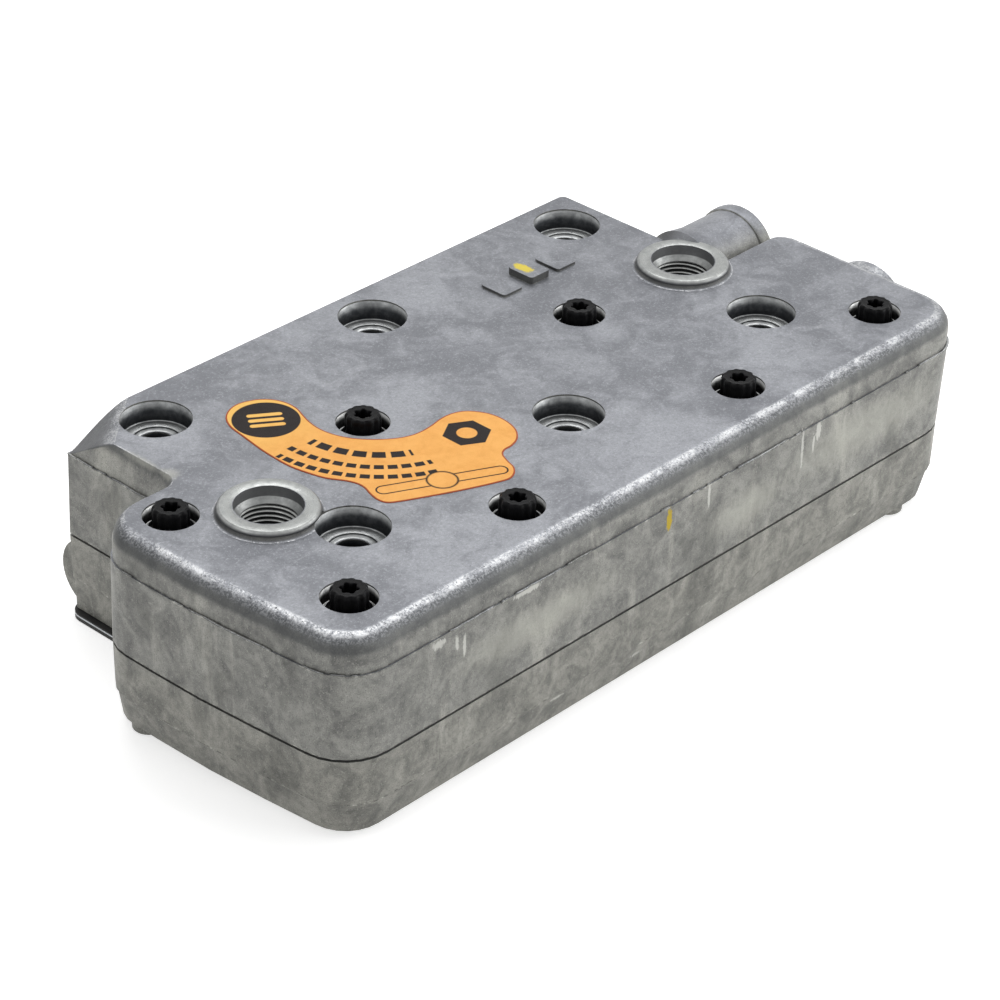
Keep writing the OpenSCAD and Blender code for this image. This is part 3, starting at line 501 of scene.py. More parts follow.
class CastSkin:
    """Node group of a mottled casting skin, in which each method lays one effect over a colour.

    The group goes from position in millimetres, the normal's rise, four tints and two parting
    levels to a colour, a roughness and a height in millimetres.
    """

    def __init__(self) -> None:
        """Opens the group and makes the noises and masks that several effects share."""
        self.tree, start, self.end = new_group("cast_skin", [
            ("Place", VECTOR), ("Rise", FLOAT), ("Top dark", COLOR), ("Top light", COLOR),
            ("Side dark", COLOR), ("Side light", COLOR), ("Seam 1", FLOAT), ("Seam 2", FLOAT)],
            [("Color", COLOR), ("Roughness", FLOAT), ("Height", FLOAT)])
        self.given = start.outputs
        self.g = g = Graph(self.tree)
        self.p, self.rise = self.given["Place"], self.given["Rise"]
        self.x, self.y, self.z = g.split(self.p)
        self.patch = g.noise(self.p, 0.11, 5, 0.6, 0.9)
        self.mottle = g.noise(self.p, 0.55, 4, 0.65)
        self.grain = g.noise(self.p, 2.6, 3, 0.7)
        self.speck = g.noise(self.p, 1.3, 4, 0.8)
        self.up = g.span(self.rise, 0.5, 0.93)
        self.wall = g.inverse(self.up)

    def walls(self) -> Socket:
        """Walls: warm grey between a dark and a pale tint, blotched at three sizes.

        Returns:
            The colour of the walls.
        """
        g, p = self.g, self.p
        blot = g.span(g.total((self.patch, 0.62), (self.mottle, 0.38)), 0.34, 0.66)
        side = g.mix(blot, self.given["Side dark"], self.given["Side light"])
        side = g.lay(side, TINTS.dust, 0.4, g.span(g.noise(p, 1.1, 4, 0.8), 0.46, 0.36))
        pale = g.noise(g.stretch(p, 1, 1, 0.3), 0.06, 5, 0.65, 0.4)
        side = g.lay(side, TINTS.chalk, 0.6, g.span(pale, 0.52, 0.70))
        dark = g.noise(g.stretch(p, 1, 1, 0.6), 0.045, 4, 0.6)
        side = g.lay(side, TINTS.soot, 0.5, g.span(dark, 0.52, 0.70))
        return g.lay(side, TINTS.pores, 0.45, g.span(self.grain, 0.50, 0.66))

    def top(self) -> Socket:
        """Top: cool grey in soft clouds, with thin pale smears and specks of both kinds.

        Returns:
            The colour of the top.
        """
        g, p = self.g, self.p
        broad = g.noise(p, 0.024, 3, 0.5, 0.6)
        cloud = g.span(g.total((broad, 0.55), (self.patch, 0.45)), 0.38, 0.62)
        top = g.mix(cloud, self.given["Top dark"], self.given["Top light"])
        smear = g.noise(g.stretch(p, 0.35, 1.3, 1), 0.16, 6, 0.72, 1.6)
        top = g.lay(top, TINTS.smear, 0.40, g.span(smear, 0.60, 0.72))
        top = g.lay(top, TINTS.dark_speck, 0.42, g.span(self.speck, 0.52, 0.64))
        return g.lay(top, TINTS.pale_speck, 0.36, g.span(self.speck, 0.46, 0.36))

    def spotted(self, colour: Socket) -> tuple[Socket, Socket]:
        """Bright crystals on the walls and dark pits all over, one to a cell.

        Args:
            colour: the skin so far.

        Returns:
            The colour, and a mask of the pits.
        """
        g = self.g
        cells = g.add("ShaderNodeTexVoronoi", {"Vector": self.p, "Scale": 1.5}).outputs
        lot = g.add("ShaderNodeSeparateColor", {0: cells["Color"]}).outputs
        colour = g.lay(colour, TINTS.crystal, 0.32, g.span(cells["Distance"], 0.16, 0.30, 1, 0),
                       g.span(lot[0], 0.72, 0.8), self.wall)
        pit = g.product(g.span(cells["Distance"], 0.10, 0.26, 1, 0), g.span(lot[1], 0.935, 0.96))
        return g.lay(colour, TINTS.pit, 0.75, pit), pit

    def scratched(self, colour: Socket) -> Socket:
        """Streaks down the walls, and long scratches over the top.

        Args:
            colour: the skin so far.

        Returns:
            The colour.
        """
        g, p = self.g, self.p
        run = g.noise(g.stretch(p, 1.0, 1.0, 0.05), 1.1, 3, 0.6)
        where = g.span(g.noise(p, 0.05, 2), 0.50, 0.66)
        colour = g.lay(colour, TINTS.streak, 0.85, g.span(run, 0.70, 0.76), where, self.wall)
        line = g.noise(g.stretch(g.turn(p, 0.5), 0.045, 2.2, 1), 1.0, 2, 0.5)
        where = g.span(g.noise(p, 0.06, 2), 0.52, 0.62)
        return g.lay(colour, TINTS.scratch, 0.7, g.span(line, 0.735, 0.765), self.up, where)

    def worn(self, colour: Socket) -> tuple[Socket, Socket, Socket]:
        """Fillets: a band of painted shade under the edge, a haze above it, bright rubbed metal and flecks.

        Args:
            colour: the skin so far.

        Returns:
            The colour, and masks of the rubbed metal and of the flecks.
        """
        g, rise = self.g, self.rise
        by_stub = g.product(g.span(self.x, 104.5, 106), g.span(self.y, -8.6, -7.6))
        outer = g.product(g.span(self.z, TOP_Z + 0.04, TOP_Z + 0.2, 1, 0), g.inverse(by_stub))
        # Painted shade: a dark band on the sloping middle of the fillets below the top edge.
        band = g.product(g.span(rise, 0.10, 0.40), g.span(rise, 0.80, 0.93, 1, 0))
        colour = g.lay(colour, TINTS.fillet_shade, 0.72, band, outer)
        edge = g.product(g.span(rise, 0.80, 0.93), g.span(rise, 0.975, 0.998, 1, 0), outer)
        facet = g.product(g.span(self.x, -86, -88), g.span(self.y, 10, 14))
        colour = g.lay(colour, TINTS.haze, 0.5, g.span(rise, 0.55, 0.90), outer,
                       g.span(rise, 0.98, 1.0, 1, 0), g.span(self.speck, 0.54, 0.42), g.inverse(facet))
        rub = g.total((g.noise(self.p, 1.4, 4, 0.85), 0.6), (self.patch, 0.4))
        shine = g.product(edge, g.span(rub, 0.46, 0.58))
        colour = g.lay(colour, TINTS.rubbed, 0.75, shine)
        fleck = g.product(edge, g.span(g.noise(self.p, 1.6, 2, 0.6), 0.62, 0.67))
        return g.lay(colour, TINTS.fleck, 0.8, fleck), shine, fleck

    def shaded_and_soiled(self, colour: Socket) -> Socket:
        """Painted shade on the steep sides of what stands on the top, and dirt and pale chips on parting
        lines.

        Args:
            colour: the skin so far.

        Returns:
            The colour.
        """
        g = self.g
        # Painted shade: steep faces above the top face, left of the stub, are darkened.
        colour = g.lay(colour, TINTS.foot_shade, 0.7, g.span(self.z, TOP_Z + 0.05, TOP_Z + 0.3),
                       g.span(self.rise, 0.70, 0.93, 1, 0), g.span(self.x, 106, 105))
        chips = g.noise(self.p, 0.5, 5, 0.7)
        seam = g.math("MAXIMUM", g.near(self.z, self.given["Seam 1"], 0.8),
                      g.near(self.z, self.given["Seam 2"], 0.55))
        seam = g.product(seam, g.span(g.math("ABSOLUTE", self.rise), 0.9, 0.5),
                         g.span(self.patch, 0.36, 0.60, 0.10, 0.85))
        colour = g.lay(colour, TINTS.seam_dirt, 1.0, seam, g.span(chips, 0.50, 0.60))
        return g.lay(colour, TINTS.seam_chip, 1.0, seam, g.span(chips, 0.46, 0.36))

    def build(self) -> bpy.types.NodeTree:
        """Lays all effects over each other, and works out the roughness and the height.

        Returns:
            The node group.
        """
        g = self.g
        colour, pit = self.spotted(g.mix(self.up, self.walls(), self.top()))
        colour, shine, fleck = self.worn(self.scratched(colour))
        rough = g.total((self.mottle, 0.2), (self.wall, 0.08), (shine, -0.10), base=0.37)
        coarse = g.total((self.wall, 0.55), base=0.45)
        height = g.total((g.product(self.grain, coarse), 0.10), (g.product(self.mottle, coarse), 0.12),
                         (self.patch, 0.16), (pit, -0.12), (fleck, -0.07))
        g.feed(self.end, {"Color": self.shaded_and_soiled(colour), "Roughness": rough, "Height": height})
        return self.tree


class Effects:
    """The node groups that several materials share, each built once."""

    def __init__(self) -> None:
        """Builds the groups."""
        self.cast = CastSkin().build()
        self.grime = self._grime()
        self.turned = self._turning()

    @staticmethod
    def _grime() -> bpy.types.NodeTree:
        """Clouded dirt and fine grain over a plain tint.

        Returns:
            Group from position, two tints, a grain size and a gloss to a colour, a roughness
            and a height.
        """
        tree, start, end = new_group("grime", [
            ("Place", VECTOR), ("Clean", COLOR), ("Dirty", COLOR), ("Grain", FLOAT), ("Gloss", FLOAT)],
            [("Color", COLOR), ("Roughness", FLOAT), ("Height", FLOAT)])
        g, given = Graph(tree), start.outputs
        cloud = g.noise(given["Place"], 0.22, 5, 0.65, 0.5)
        fine = g.noise(given["Place"], 3.0, 3, 0.7)
        grain = g.noise(given["Place"], given["Grain"], 2.0, 0.5)
        share = g.span(g.total((cloud, 0.6), (fine, 0.4)), 0.38, 0.66)
        rough = g.math("ADD", given["Gloss"], g.math("MULTIPLY", g.math("SUBTRACT", cloud, 0.5), 0.35))
        g.feed(end, {"Color": g.mix(share, given["Clean"], given["Dirty"]), "Roughness": rough,
                     "Height": g.total((fine, 0.02), (grain, 0.03))})
        return tree

    @staticmethod
    def _turning() -> bpy.types.NodeTree:
        """Fine rings of a turned or spot-faced surface, along the second direction of the UV map, with
        painted shade on its upright faces.

        Returns:
            Group from the UV map, the position, the normal's rise and three tints to a colour,
            a roughness and a height.
        """
        tree, start, end = new_group("turning", [
            ("Along", VECTOR), ("Place", VECTOR), ("Rise", FLOAT), ("Bright", COLOR), ("Dull", COLOR),
            ("Wall", COLOR)], [("Color", COLOR), ("Roughness", FLOAT), ("Height", FLOAT)])
        g, given = Graph(tree), start.outputs
        rings = g.noise(g.stretch(given["Along"], 1.5, 900, 1), 1.0, 4, 0.7)
        cloud = g.noise(given["Place"], 0.5, 4, 0.6)
        share = g.span(g.total((rings, 0.5), (cloud, 0.5)), 0.36, 0.64)
        wall = g.inverse(g.span(given["Rise"], 0.45, 0.8))
        # Painted shade: upright faces take the wall shade tint in full.
        colour = g.lay(g.mix(share, given["Bright"], given["Dull"]), given["Wall"], 1.0,
                       wall, g.span(cloud, 0.35, 0.65, 0.95, 1.0))
        rough = g.span(g.total((rings, 0.4), (cloud, 0.6)), 0.3, 0.7, 0.24, 0.42)
        g.feed(end, {"Color": colour, "Roughness": g.total((rough, 1.0), (wall, 0.18)),
                     "Height": g.total((rings, 0.02))})
        return tree


class Finish:
    """Common part of a material: an output, a Principled shader and the place in millimetres."""

    def begin(self, name: str, metallic: float, specular: float = 0.5
              ) -> tuple[bpy.types.Material, Graph, bpy.types.Node, Socket]:
        """Starts a material.

        Args:
            name: name of the material.
            metallic: how metallic it is, the same all over.
            specular: its specular level, the same all over.

        Returns:
            The material, its graph, its Principled shader and the position in millimetres.
        """
        material = bpy.data.materials.new(name)
        material.use_nodes = True
        material.node_tree.nodes.clear()
        g = Graph(material.node_tree)
        shader = g.add("ShaderNodeBsdfPrincipled", {"Metallic": metallic, "Specular IOR Level": specular})
        g.add("ShaderNodeOutputMaterial", {"Surface": shader.outputs[0]})
        place_m = g.add("ShaderNodeTexCoord").outputs["Object"]
        return material, g, shader, g.stretch(place_m, 1000, 1000, 1000)

    def end(self, g: Graph, shader: bpy.types.Node, colour: Socket, group: bpy.types.Node) -> None:
        """Wires a colour, and a group's roughness and height in millimetres, into the shader.

        Args:
            g: the material's graph.
            shader: its Principled shader.
            colour: the base colour.
            group: the shared effect that gives the roughness and the height.
        """
        bump = g.add("ShaderNodeBump", {"Strength": 1.0, "Distance": MM, "Height": group.outputs["Height"]})
        g.feed(shader, {"Base Color": colour, "Roughness": group.outputs["Roughness"],
                        "Normal": bump.outputs[0]})


@dataclass(frozen=True)
class Mark:
    """Spot on a casting: an ellipsoid round a point, in millimetres."""

    centre: Solid
    half: Solid
    tint: Colour = TINTS.stain


@dataclass(frozen=True)
class CastFinish(Finish):
    """Skin of a casting, with its tints, its two parting lines and its marks.

    The marks are dabs of marking paint, broad pale stains and bright torn scuffs, each an
    ellipsoid whose outline a noise frays.
    """

    name: str
    top_dark: Colour = rgb(108, 110, 115)
    top_light: Colour = rgb(141, 143, 148)
    side_dark: Colour = rgb(98, 98, 96)
    side_light: Colour = rgb(144, 144, 139)
    seams: tuple[float, float] = (RIM_Z, UPPER_Z)
    dabs: tuple[Mark, ...] = ()
    stains: tuple[Mark, ...] = ()
    scuffs: tuple[Mark, ...] = ()

    def build(self, effects: Effects) -> bpy.types.Material:
        """Builds the material from the shared casting skin.

        Args:
            effects: the shared node groups.

        Returns:
            The material.
        """
        material, g, shader, p = self.begin(self.name, 0.6)
        rise = g.split(g.add("ShaderNodeNewGeometry").outputs["Normal"])[2]
        skin = g.add("ShaderNodeGroup", {
            "Place": p, "Rise": rise, "Top dark": self.top_dark, "Top light": self.top_light,
            "Side dark": self.side_dark, "Side light": self.side_light,
            "Seam 1": self.seams[0], "Seam 2": self.seams[1]}, node_tree=effects.cast)
        colour = skin.outputs["Color"]
        for dab in self.dabs:
            far = g.total((g.noise(p, 0.7, 4, 0.75), 1.3), (g.reach(p, dab.centre, dab.half), 1.0))
            colour = g.mix(g.span(far, 1.5, 1.25), colour, dab.tint)
        for stain in self.stains:
            fray = g.noise(g.stretch(p, 1, 1, 0.4), 0.9, 5, 0.8)
            far = g.total((fray, 1.4), (g.reach(p, stain.centre, stain.half), 1.0))
            colour = g.mix(g.span(far, 2.1, 1.1, 0.0, 0.48), colour, stain.tint)
        if self.scuffs:
            colour = g.lay(colour, TINTS.torn, 0.7, self._scuffed(g, p))
        self.end(g, shader, colour, skin)
        return material

    def _scuffed(self, g: Graph, p: Socket) -> Socket:
        """Bright torn spots, frayed the longer way upright.

        Args:
            g: the material's graph.
            p: position in millimetres.

        Returns:
            One inside the spots, zero elsewhere.
        """
        fray = g.math("MULTIPLY", g.noise(g.stretch(p, 1, 1, 0.3), 1.5, 5, 0.8), 2.0)
        total = 0.0
        for scuff in self.scuffs:
            far = g.math("ADD", g.reach(p, scuff.centre, scuff.half), fray)
            total = g.math("MAXIMUM", total, g.span(far, 1.85, 1.5))
        return total


@dataclass(frozen=True)
class PlainFinish(Finish):
    """Even surface with clouded dirt and fine grain, such as a gasket or blackened steel."""

    name: str
    clean: Colour
    dirty: Colour
    metallic: float = 0.0
    gloss: float = 0.5
    grain: float = 6.0
    specular: float = 0.4

    def build(self, effects: Effects) -> bpy.types.Material:
        """Builds the material.

        Args:
            effects: the shared node groups.

        Returns:
            The material.
        """
        material, g, shader, p = self.begin(self.name, self.metallic, self.specular)
        group = g.add("ShaderNodeGroup", {
            "Place": p, "Clean": self.clean, "Dirty": self.dirty, "Grain": self.grain,
            "Gloss": self.gloss}, node_tree=effects.grime)
        self.end(g, shader, group.outputs["Color"], group)
        return material


@dataclass(frozen=True)
class TurnedFinish(Finish):
    """Machined aluminium with fine rings along the UV map, painted shade on its upright faces, and painted
    shade in a thread's grooves.
    """

    name: str
    bright: Colour = rgb(168, 170, 168)
    dull: Colour = rgb(134, 136, 135)
    # painted shade of the upright faces: bore, ring and counterbore walls
    wall: Colour = rgb(104, 105, 106)
    grooved: bool = False
    groove_shade: Colour = rgb(26, 26, 27)

    def build(self, effects: Effects) -> bpy.types.Material:
        """Builds the material.

        Args:
            effects: the shared node groups.

        Returns:
            The material.
        """
        material, g, shader, p = self.begin(self.name, 0.8, 0.3)
        along = g.add("ShaderNodeUVMap", uv_map="along").outputs[0]
        rise = g.split(g.add("ShaderNodeNewGeometry").outputs["Normal"])[2]
        group = g.add("ShaderNodeGroup", {
            "Along": along, "Place": p, "Rise": rise, "Bright": self.bright, "Dull": self.dull,
            "Wall": self.wall}, node_tree=effects.turned)
        colour = group.outputs["Color"]
        if self.grooved:
            # Painted shade: the deep part of each thread groove is darkened almost to black.
            deep = g.add("ShaderNodeAttribute", attribute_name="groove").outputs["Fac"]
            colour = g.lay(colour, self.groove_shade, 0.96, g.span(deep, 0.12, 0.75))
        self.end(g, shader, colour, group)
        return material


# ---- sub-assemblies


@dataclass
class Casting:
    """One casting: a merged copy of its solid with broken edges, dressed in its skin.

    Where a thread is cut, the plain bore wall is left out of the copy, and the thread's own
    surface stands in its place.
    """

    node: str
    slot: str
    edge: float = 0.4
    sharp_from: float = 32.0
    threads: tuple[Thread, ...] = ()

    def build(self, frame: dict, material: bpy.types.Material) -> bpy.types.Object:
        """Copies, merges, opens the threaded bores and breaks the sharp edges.

        Args:
            frame: the loaded frame.
            material: the casting's skin.

        Returns:
            The finished piece.
        """
        bm = bmesh.new()
        bm.from_mesh(frame["nodes"][self.node].data)
        bmesh.ops.remove_doubles(bm, verts=bm.verts, dist=2e-6)
        bmesh.ops.delete(bm, geom=self._bore_faces(bm), context="FACES_ONLY")
        bmesh.ops.dissolve_limit(bm, angle_limit=math.radians(0.3), verts=bm.verts, edges=bm.edges)
        for layer in list(bm.loops.layers.uv):
            bm.loops.layers.uv.remove(layer)
        for face in bm.faces:
            face.smooth, face.material_index = True, 0
        mesh = bpy.data.meshes.new(self.node + "_skin")
        bm.to_mesh(mesh)
        bm.free()
        piece = bpy.data.objects.new(self.node + "_skin", mesh)
        bpy.context.scene.collection.objects.link(piece)
        bevel = piece.modifiers.new("broken_edges", "BEVEL")
        bevel.width, bevel.segments = self.edge * MM, 2
        bevel.limit_method, bevel.angle_limit = "ANGLE", math.radians(self.sharp_from)
        bevel.harden_normals = True
        piece.modifiers.new("even_shading", "WEIGHTED_NORMAL").keep_sharp = True
        return place(piece, material, self.slot, self.node)

    def _bore_faces(self, bm: bmesh.types.BMesh) -> list[bmesh.types.BMFace]:
        """Faces of the plain walls that a thread stands for.

        Args:
            bm: the merged copy.

        Returns:
            The faces whose corners all lie on a threaded bore, inside its length.
        """
        found = set()
        for face in bm.faces:
            corners = np.array([corner.co for corner in face.verts]) / MM
            if any(thread.on_wall(corners) for thread in self.threads):
                found.add(face)
        return list(found)


@dataclass
class Thread:
    """Internal screw thread of a port, as a closed sleeve.

    The inner surface's radius is the bore's plus the thread's depth times a rounded triangle
    wave of height over pitch less the turn's share, and the depth fades out at both ends. The
    outer surface is a plain cylinder inside the casting.
    """

    axis: Axis
    centre: Point
    bore: float
    low: float
    high: float
    pitch: float = 1.5
    depth: float = 0.82
    rows_per_turn: int = 14
    wall: float = 0.35
    slack: float = 0.05

    def on_wall(self, corners: np.ndarray) -> bool:
        """Tells whether a face lies on the plain bore between its two ends.

        Args:
            corners: corners of the face, in millimetres.

        Returns:
            Whether all corners do, and the face runs along the bore.
        """
        along, u, v = (corners[:, direction] for direction in self.axis.value)
        r = np.hypot(u - self.centre[0], v - self.centre[1])
        inside = (along > self.low - self.slack) & (along < self.high + self.slack)
        return bool(np.all(np.abs(r - self.bore) < 0.06) and np.all(inside) and np.ptp(along) > 0.5)

    def mesh(self) -> bpy.types.Mesh:
        """Builds the sleeve.

        Returns:
            The mesh, whose grid runs along the thread and round it.
        """
        length = self.high - self.low
        rows = int(length / self.pitch * self.rows_per_turn)
        z = np.linspace(0, length, rows)[:, None]
        t = np.linspace(0, 2 * np.pi, 72, endpoint=False)[None, :]
        wave = np.abs(((z / self.pitch - t / (2 * np.pi)) % 1.0) * 2 - 1)
        shape = np.clip((wave - 0.12) / 0.76, 0, 1)
        fade = np.clip(z / 1.2, 0, 1) * np.clip((length - z) / 0.5, 0, 1)
        inner = self.bore - 0.02 + self.depth * shape * fade
        outer = np.full((2, t.shape[1]), self.bore + self.depth + self.wall)
        r = np.concatenate([inner, outer])
        along = np.concatenate([np.broadcast_to(z, inner.shape),
                                [[length - 0.9] * t.shape[1], [0.0] * t.shape[1]]])
        u, v = self.centre[0] + r * np.cos(t), self.centre[1] + r * np.sin(t)
        points = np.empty((*r.shape, 3))
        for direction, values in zip(self.axis.value, (self.low + along, u, v)):
            points[..., direction] = values
        mesh = grid_mesh("thread", points, Wrap.RING)
        groove = mesh.attributes.new("groove", "FLOAT", "POINT")
        groove.data.foreach_set("value", np.concatenate([shape * fade, np.zeros_like(outer)]).ravel())
        return mesh


@dataclass
class MachinedFaces:
    """Turned surfaces of the ports and the counterbores, as thin closed liners.

    Each is a profile of radius and height turned about its axis. The side that shows stands
    0.05 mm proud of the casting, and its back lies inside it.
    """

    proud: float = 0.05
    back: float = 0.4
    ring_r: float = 14.46
    ring_h: float = 2.65
    recess_r: float = 9.92
    recess_z: float = TOP_Z - 0.45
    bore_r: float = 8.19
    bore_z: float = 63.82
    bolt_r: float = 10.6
    bolt_z: float = TOP_Z - 6.9
    step_r: float = 7.2
    step_h: float = 0.7
    hole_r: float = 5.25
    screw_r: float = 8.0
    screw_z: float = TOP_Z - 5.2
    screw_in: float = 6.7

    def port(self, centre: Point) -> bpy.types.Mesh:
        """Ring face, recess and lead-in of a coolant port.

        Args:
            centre: x and y of the port.

        Returns:
            The liner.
        """
        e, b, top = self.proud, self.back, TOP_Z + self.ring_h
        rim, wall, bore = self.ring_r + e, self.recess_r - e, self.bore_r - e
        front = [(rim, TOP_Z + 1.3), (rim, top - 0.95), (rim - 0.08, top - 0.68), (rim - 0.77, top + 0.01),
                 (rim - 0.95, top + e), (wall + 0.35, top + e), (wall + 0.08, top - 0.08),
                 (wall, top - 0.35), (wall, self.recess_z), (wall - 0.08, self.recess_z - 0.13),
                 (bore + 0.1, self.bore_z), (bore, self.bore_z - 0.14)]
        rear = [(bore + b, self.bore_z - 0.42), (wall + b, self.recess_z - 0.35), (wall + b, top - b),
                (rim - 1.2, top - b), (rim - b, top - 1.2), (rim - b, TOP_Z + 1.3)]
        return grid_mesh("port_face", lathe(np.array(front + rear), centre), Wrap.RING)

    def bolt_seat(self, centre: Point) -> bpy.types.Mesh:
        """Spot-faced floor and wall of a head bolt's counterbore, down to its small step.

        Args:
            centre: x and y of the bolt hole.

        Returns:
            The liner.
        """
        e, b, floor, low = self.proud, self.back, self.bolt_z, self.bolt_z - self.step_h
        wall, step, hole = self.bolt_r - e, self.step_r - e, self.hole_r - e
        front = [(wall, TOP_Z - 0.5), (wall, floor + 0.5), (wall - 0.15, floor + 0.15),
                 (wall - 0.5, floor + e), (step + 0.25, floor + e), (step, floor - 0.15), (step, low + e),
                 (hole + 0.6, low + e), (hole, floor - 1.2), (hole, floor - 6)]
        rear = [(hole + b, floor - 6), (hole + b, floor - 1.4), (step + b, low - b),
                (step + b, floor - b), (wall + b, floor - b), (wall + b, TOP_Z - 0.5)]
        return grid_mesh("bolt_seat", lathe(np.array(front + rear), centre), Wrap.RING)

    def screw_seat(self, centre: Point) -> bpy.types.Mesh:
        """Spot-faced floor and wall of a clamp screw's counterbore.

        Args:
            centre: x and y of the screw.

        Returns:
            The liner.
        """
        e, b, floor, wall = self.proud, self.back, self.screw_z, self.screw_r - self.proud
        front = [(wall, TOP_Z - 0.5), (wall, floor + 0.4), (wall - 0.12, floor + 0.1),
                 (wall - 0.4, floor + e), (self.screw_in, floor + e)]
        rear = [(self.screw_in, floor - 0.3), (wall + b, floor - 0.3), (wall + b, TOP_Z - 0.5)]
        return grid_mesh("screw_seat", lathe(np.array(front + rear), centre), Wrap.RING)

    def build(self, turned: bpy.types.Material, seat: bpy.types.Material, shaded_seat: bpy.types.Material,
              cut: bpy.types.Material, threads: list[Thread]) -> None:
        """Makes the liners and the threads.

        Args:
            turned: finish of the ring faces.
            seat: finish of the head bolts' counterbores.
            shaded_seat: finish of the clamp screws' counterbores, whose walls are near-black painted shade.
            cut: finish of the threads.
            threads: the threads of the ports.
        """
        place(join("port_faces", [self.port(c) for c in COOLANT_PORTS]), turned, "cast_upper")
        place(join("bolt_seats", [self.bolt_seat(c) for c in BOLTS]), seat, "cast_upper")
        place(join("screw_seats", [self.screw_seat(c) for c in SCREWS]), shaded_seat, "cast_upper")
        place(join("port_threads", [t.mesh() for t in threads]), cut, "cast_upper")


@dataclass
class ClampScrews:
    """Flange screws with twelve-lobe heads and a six-lobe recess, each one turned surface.

    Radius is the profile's radius times one plus the row's lobe share times a wave of the
    angle, twelve-fold outside and six-fold inside, so the profile runs from the shank over the
    flange and the lobed head into the recess without a break.
    """

    seat_z: float = TOP_Z - 5.2
    shank_low: float = JOINT_Z - 14
    steps: int = 144
    wave: float = 0.072
    outer_lobes: int = 12
    inner_lobes: int = 6
    mouth_r: float = 3.0
    turns: tuple[float, ...] = (0.2, 0.75, 0.5, 0.1, 0.9, 0.35, 0.6)

    def profile(self) -> np.ndarray:
        """Works out one half section, from the shank's end to the bottom of the recess.

        Returns:
            Radius, height above the seat and lobe share of each row.
        """
        low = self.shank_low - self.seat_z
        return np.array([
            (3.4, low, 0), (4.0, low + 0.6, 0), (4.0, -0.6, 0), (4.2, 0.0, 0), (6.5, 0.0, 0),
            (6.65, 0.15, 0), (6.65, 1.0, 0), (6.52, 1.2, 0), (5.95, 1.9, 0), (5.65, 2.2, 0),
            (5.4, 2.45, 0.2), (5.15, 2.75, 0.6), (5.1, 3.1, 0.6), (5.1, 5.4, 0.6), (5.08, 7.0, 0.6),
            (4.98, 7.5, 0.6), (4.78, 7.9, 0.55), (4.42, 8.14, 0.45), (4.05, 8.06, 0.3), (3.4, 8.0, 0),
            (3.0, 8.0, 0), (2.55, 7.95, 1.5), (2.42, 7.8, 1.9), (2.40, 6.0, 1.9), (2.38, 4.6, 1.9),
            (1.6, 4.25, 1.0), (0.6, 4.1, 0)])

    def one(self, centre: Point, turn: float) -> bpy.types.Mesh:
        """Makes one screw.

        Args:
            centre: x and y of its axis.
            turn: how far it is turned about its axis, in radians.

        Returns:
            The mesh.
        """
        rows = self.profile()
        t = np.linspace(0, 2 * np.pi, self.steps, endpoint=False)
        inside = (rows[:, 1] > 0) & (rows[:, 0] < self.mouth_r)
        lobes = np.where(inside, self.inner_lobes, self.outer_lobes)[:, None]
        swing = np.cos(lobes * (t - turn)[None, :])
        swing = np.sign(swing) * np.abs(swing) ** 0.8
        r = rows[:, 0][:, None] * (1 + self.wave * rows[:, 2][:, None] * swing)
        z = self.seat_z + rows[:, 1][:, None] + 0 * t
        points = np.stack([centre[0] + r * np.cos(t), centre[1] + r * np.sin(t), z], -1)
        return grid_mesh("screw", points, Wrap.ROUND, caps=True)

    def build(self, material: bpy.types.Material) -> None:
        """Makes the seven screws in one piece.

        Args:
            material: the blackened steel.
        """
        screws = [self.one(centre, turn) for centre, turn in zip(SCREWS, self.turns)]
        piece = join("clamp_screws_fine", screws)
        piece.modifiers.new("edges", "EDGE_SPLIT").split_angle = math.radians(50)
        place(piece, material, "black_steel", "clamp_screws")


@dataclass
class PartingFlash:
    """Thin torn ridges of metal along a parting line.

    A small rounded section is carried along the outline. Its height is a seeded wave less a
    threshold, and only the runs where that is above zero are made, each one closed at both
    ends. Within the gaps, round ports, plugs and the stub, nothing is made.
    """

    name: str
    level: float
    inset: float
    rear_inset: float
    lean: float
    height: float
    seed: int
    cover: float = 0.1
    gaps: tuple[Solid, ...] = ()
    section: tuple[Point, ...] = ((-0.5, -0.30), (0.0, -0.28), (0.7, -0.13), (1.0, 0.0), (0.75, 0.12),
                                  (0.0, 0.26), (-0.5, 0.30))

    def build(self, material: bpy.types.Material, slot: str) -> None:
        """Makes the ridges.

        Args:
            material: finish of the bright torn metal.
            slot: the record's material slot.
        """
        line = plan(self.inset, self.rear_inset, self.lean)
        out = outward(line)
        u = np.concatenate([[0.0], np.cumsum(np.linalg.norm(np.diff(line, axis=0), axis=1))])
        u /= u[-1]
        torn = ripple(u, self.seed, 7, 9.0) + 0.35 * ripple(u, self.seed + 1, 4, 130.0)
        height = self.height * np.clip((torn + self.cover) * 1.8, 0, 1)
        for x, y, r in self.gaps:
            height[np.hypot(line[:, 0] - x, line[:, 1] - y) < r] = 0.0
        wander = 0.14 * ripple(u, self.seed + 2, 5, 40.0)
        section = np.array(self.section)
        meshes = []
        for run in self._runs(height > 0.02):
            grow = np.maximum(section[:, 0], 0)[None, :] * height[run][:, None]
            reach = grow + np.minimum(section[:, 0], 0)[None, :]
            level = self.level + wander[run][:, None] + section[:, 1][None, :]
            xy = line[run][:, None, :] + out[run][:, None, :] * reach[..., None]
            meshes.append(grid_mesh(self.name, np.concatenate([xy, level[..., None]], -1),
                                    Wrap.ROUND, caps=True))
        place(join(self.name, meshes), material, slot)

    @staticmethod
    def _runs(kept: np.ndarray) -> list[np.ndarray]:
        """Groups neighbouring points that are kept.

        Args:
            kept: which points of a closed line are kept.

        Returns:
            The places of each group of at least three.
        """
        start = int(np.argmin(kept))
        order = np.roll(np.arange(len(kept)), -start)
        groups = np.split(order, np.flatnonzero(np.diff(kept[order].astype(int))) + 1)
        return [group for group in groups if kept[group[0]] and len(group) > 2]


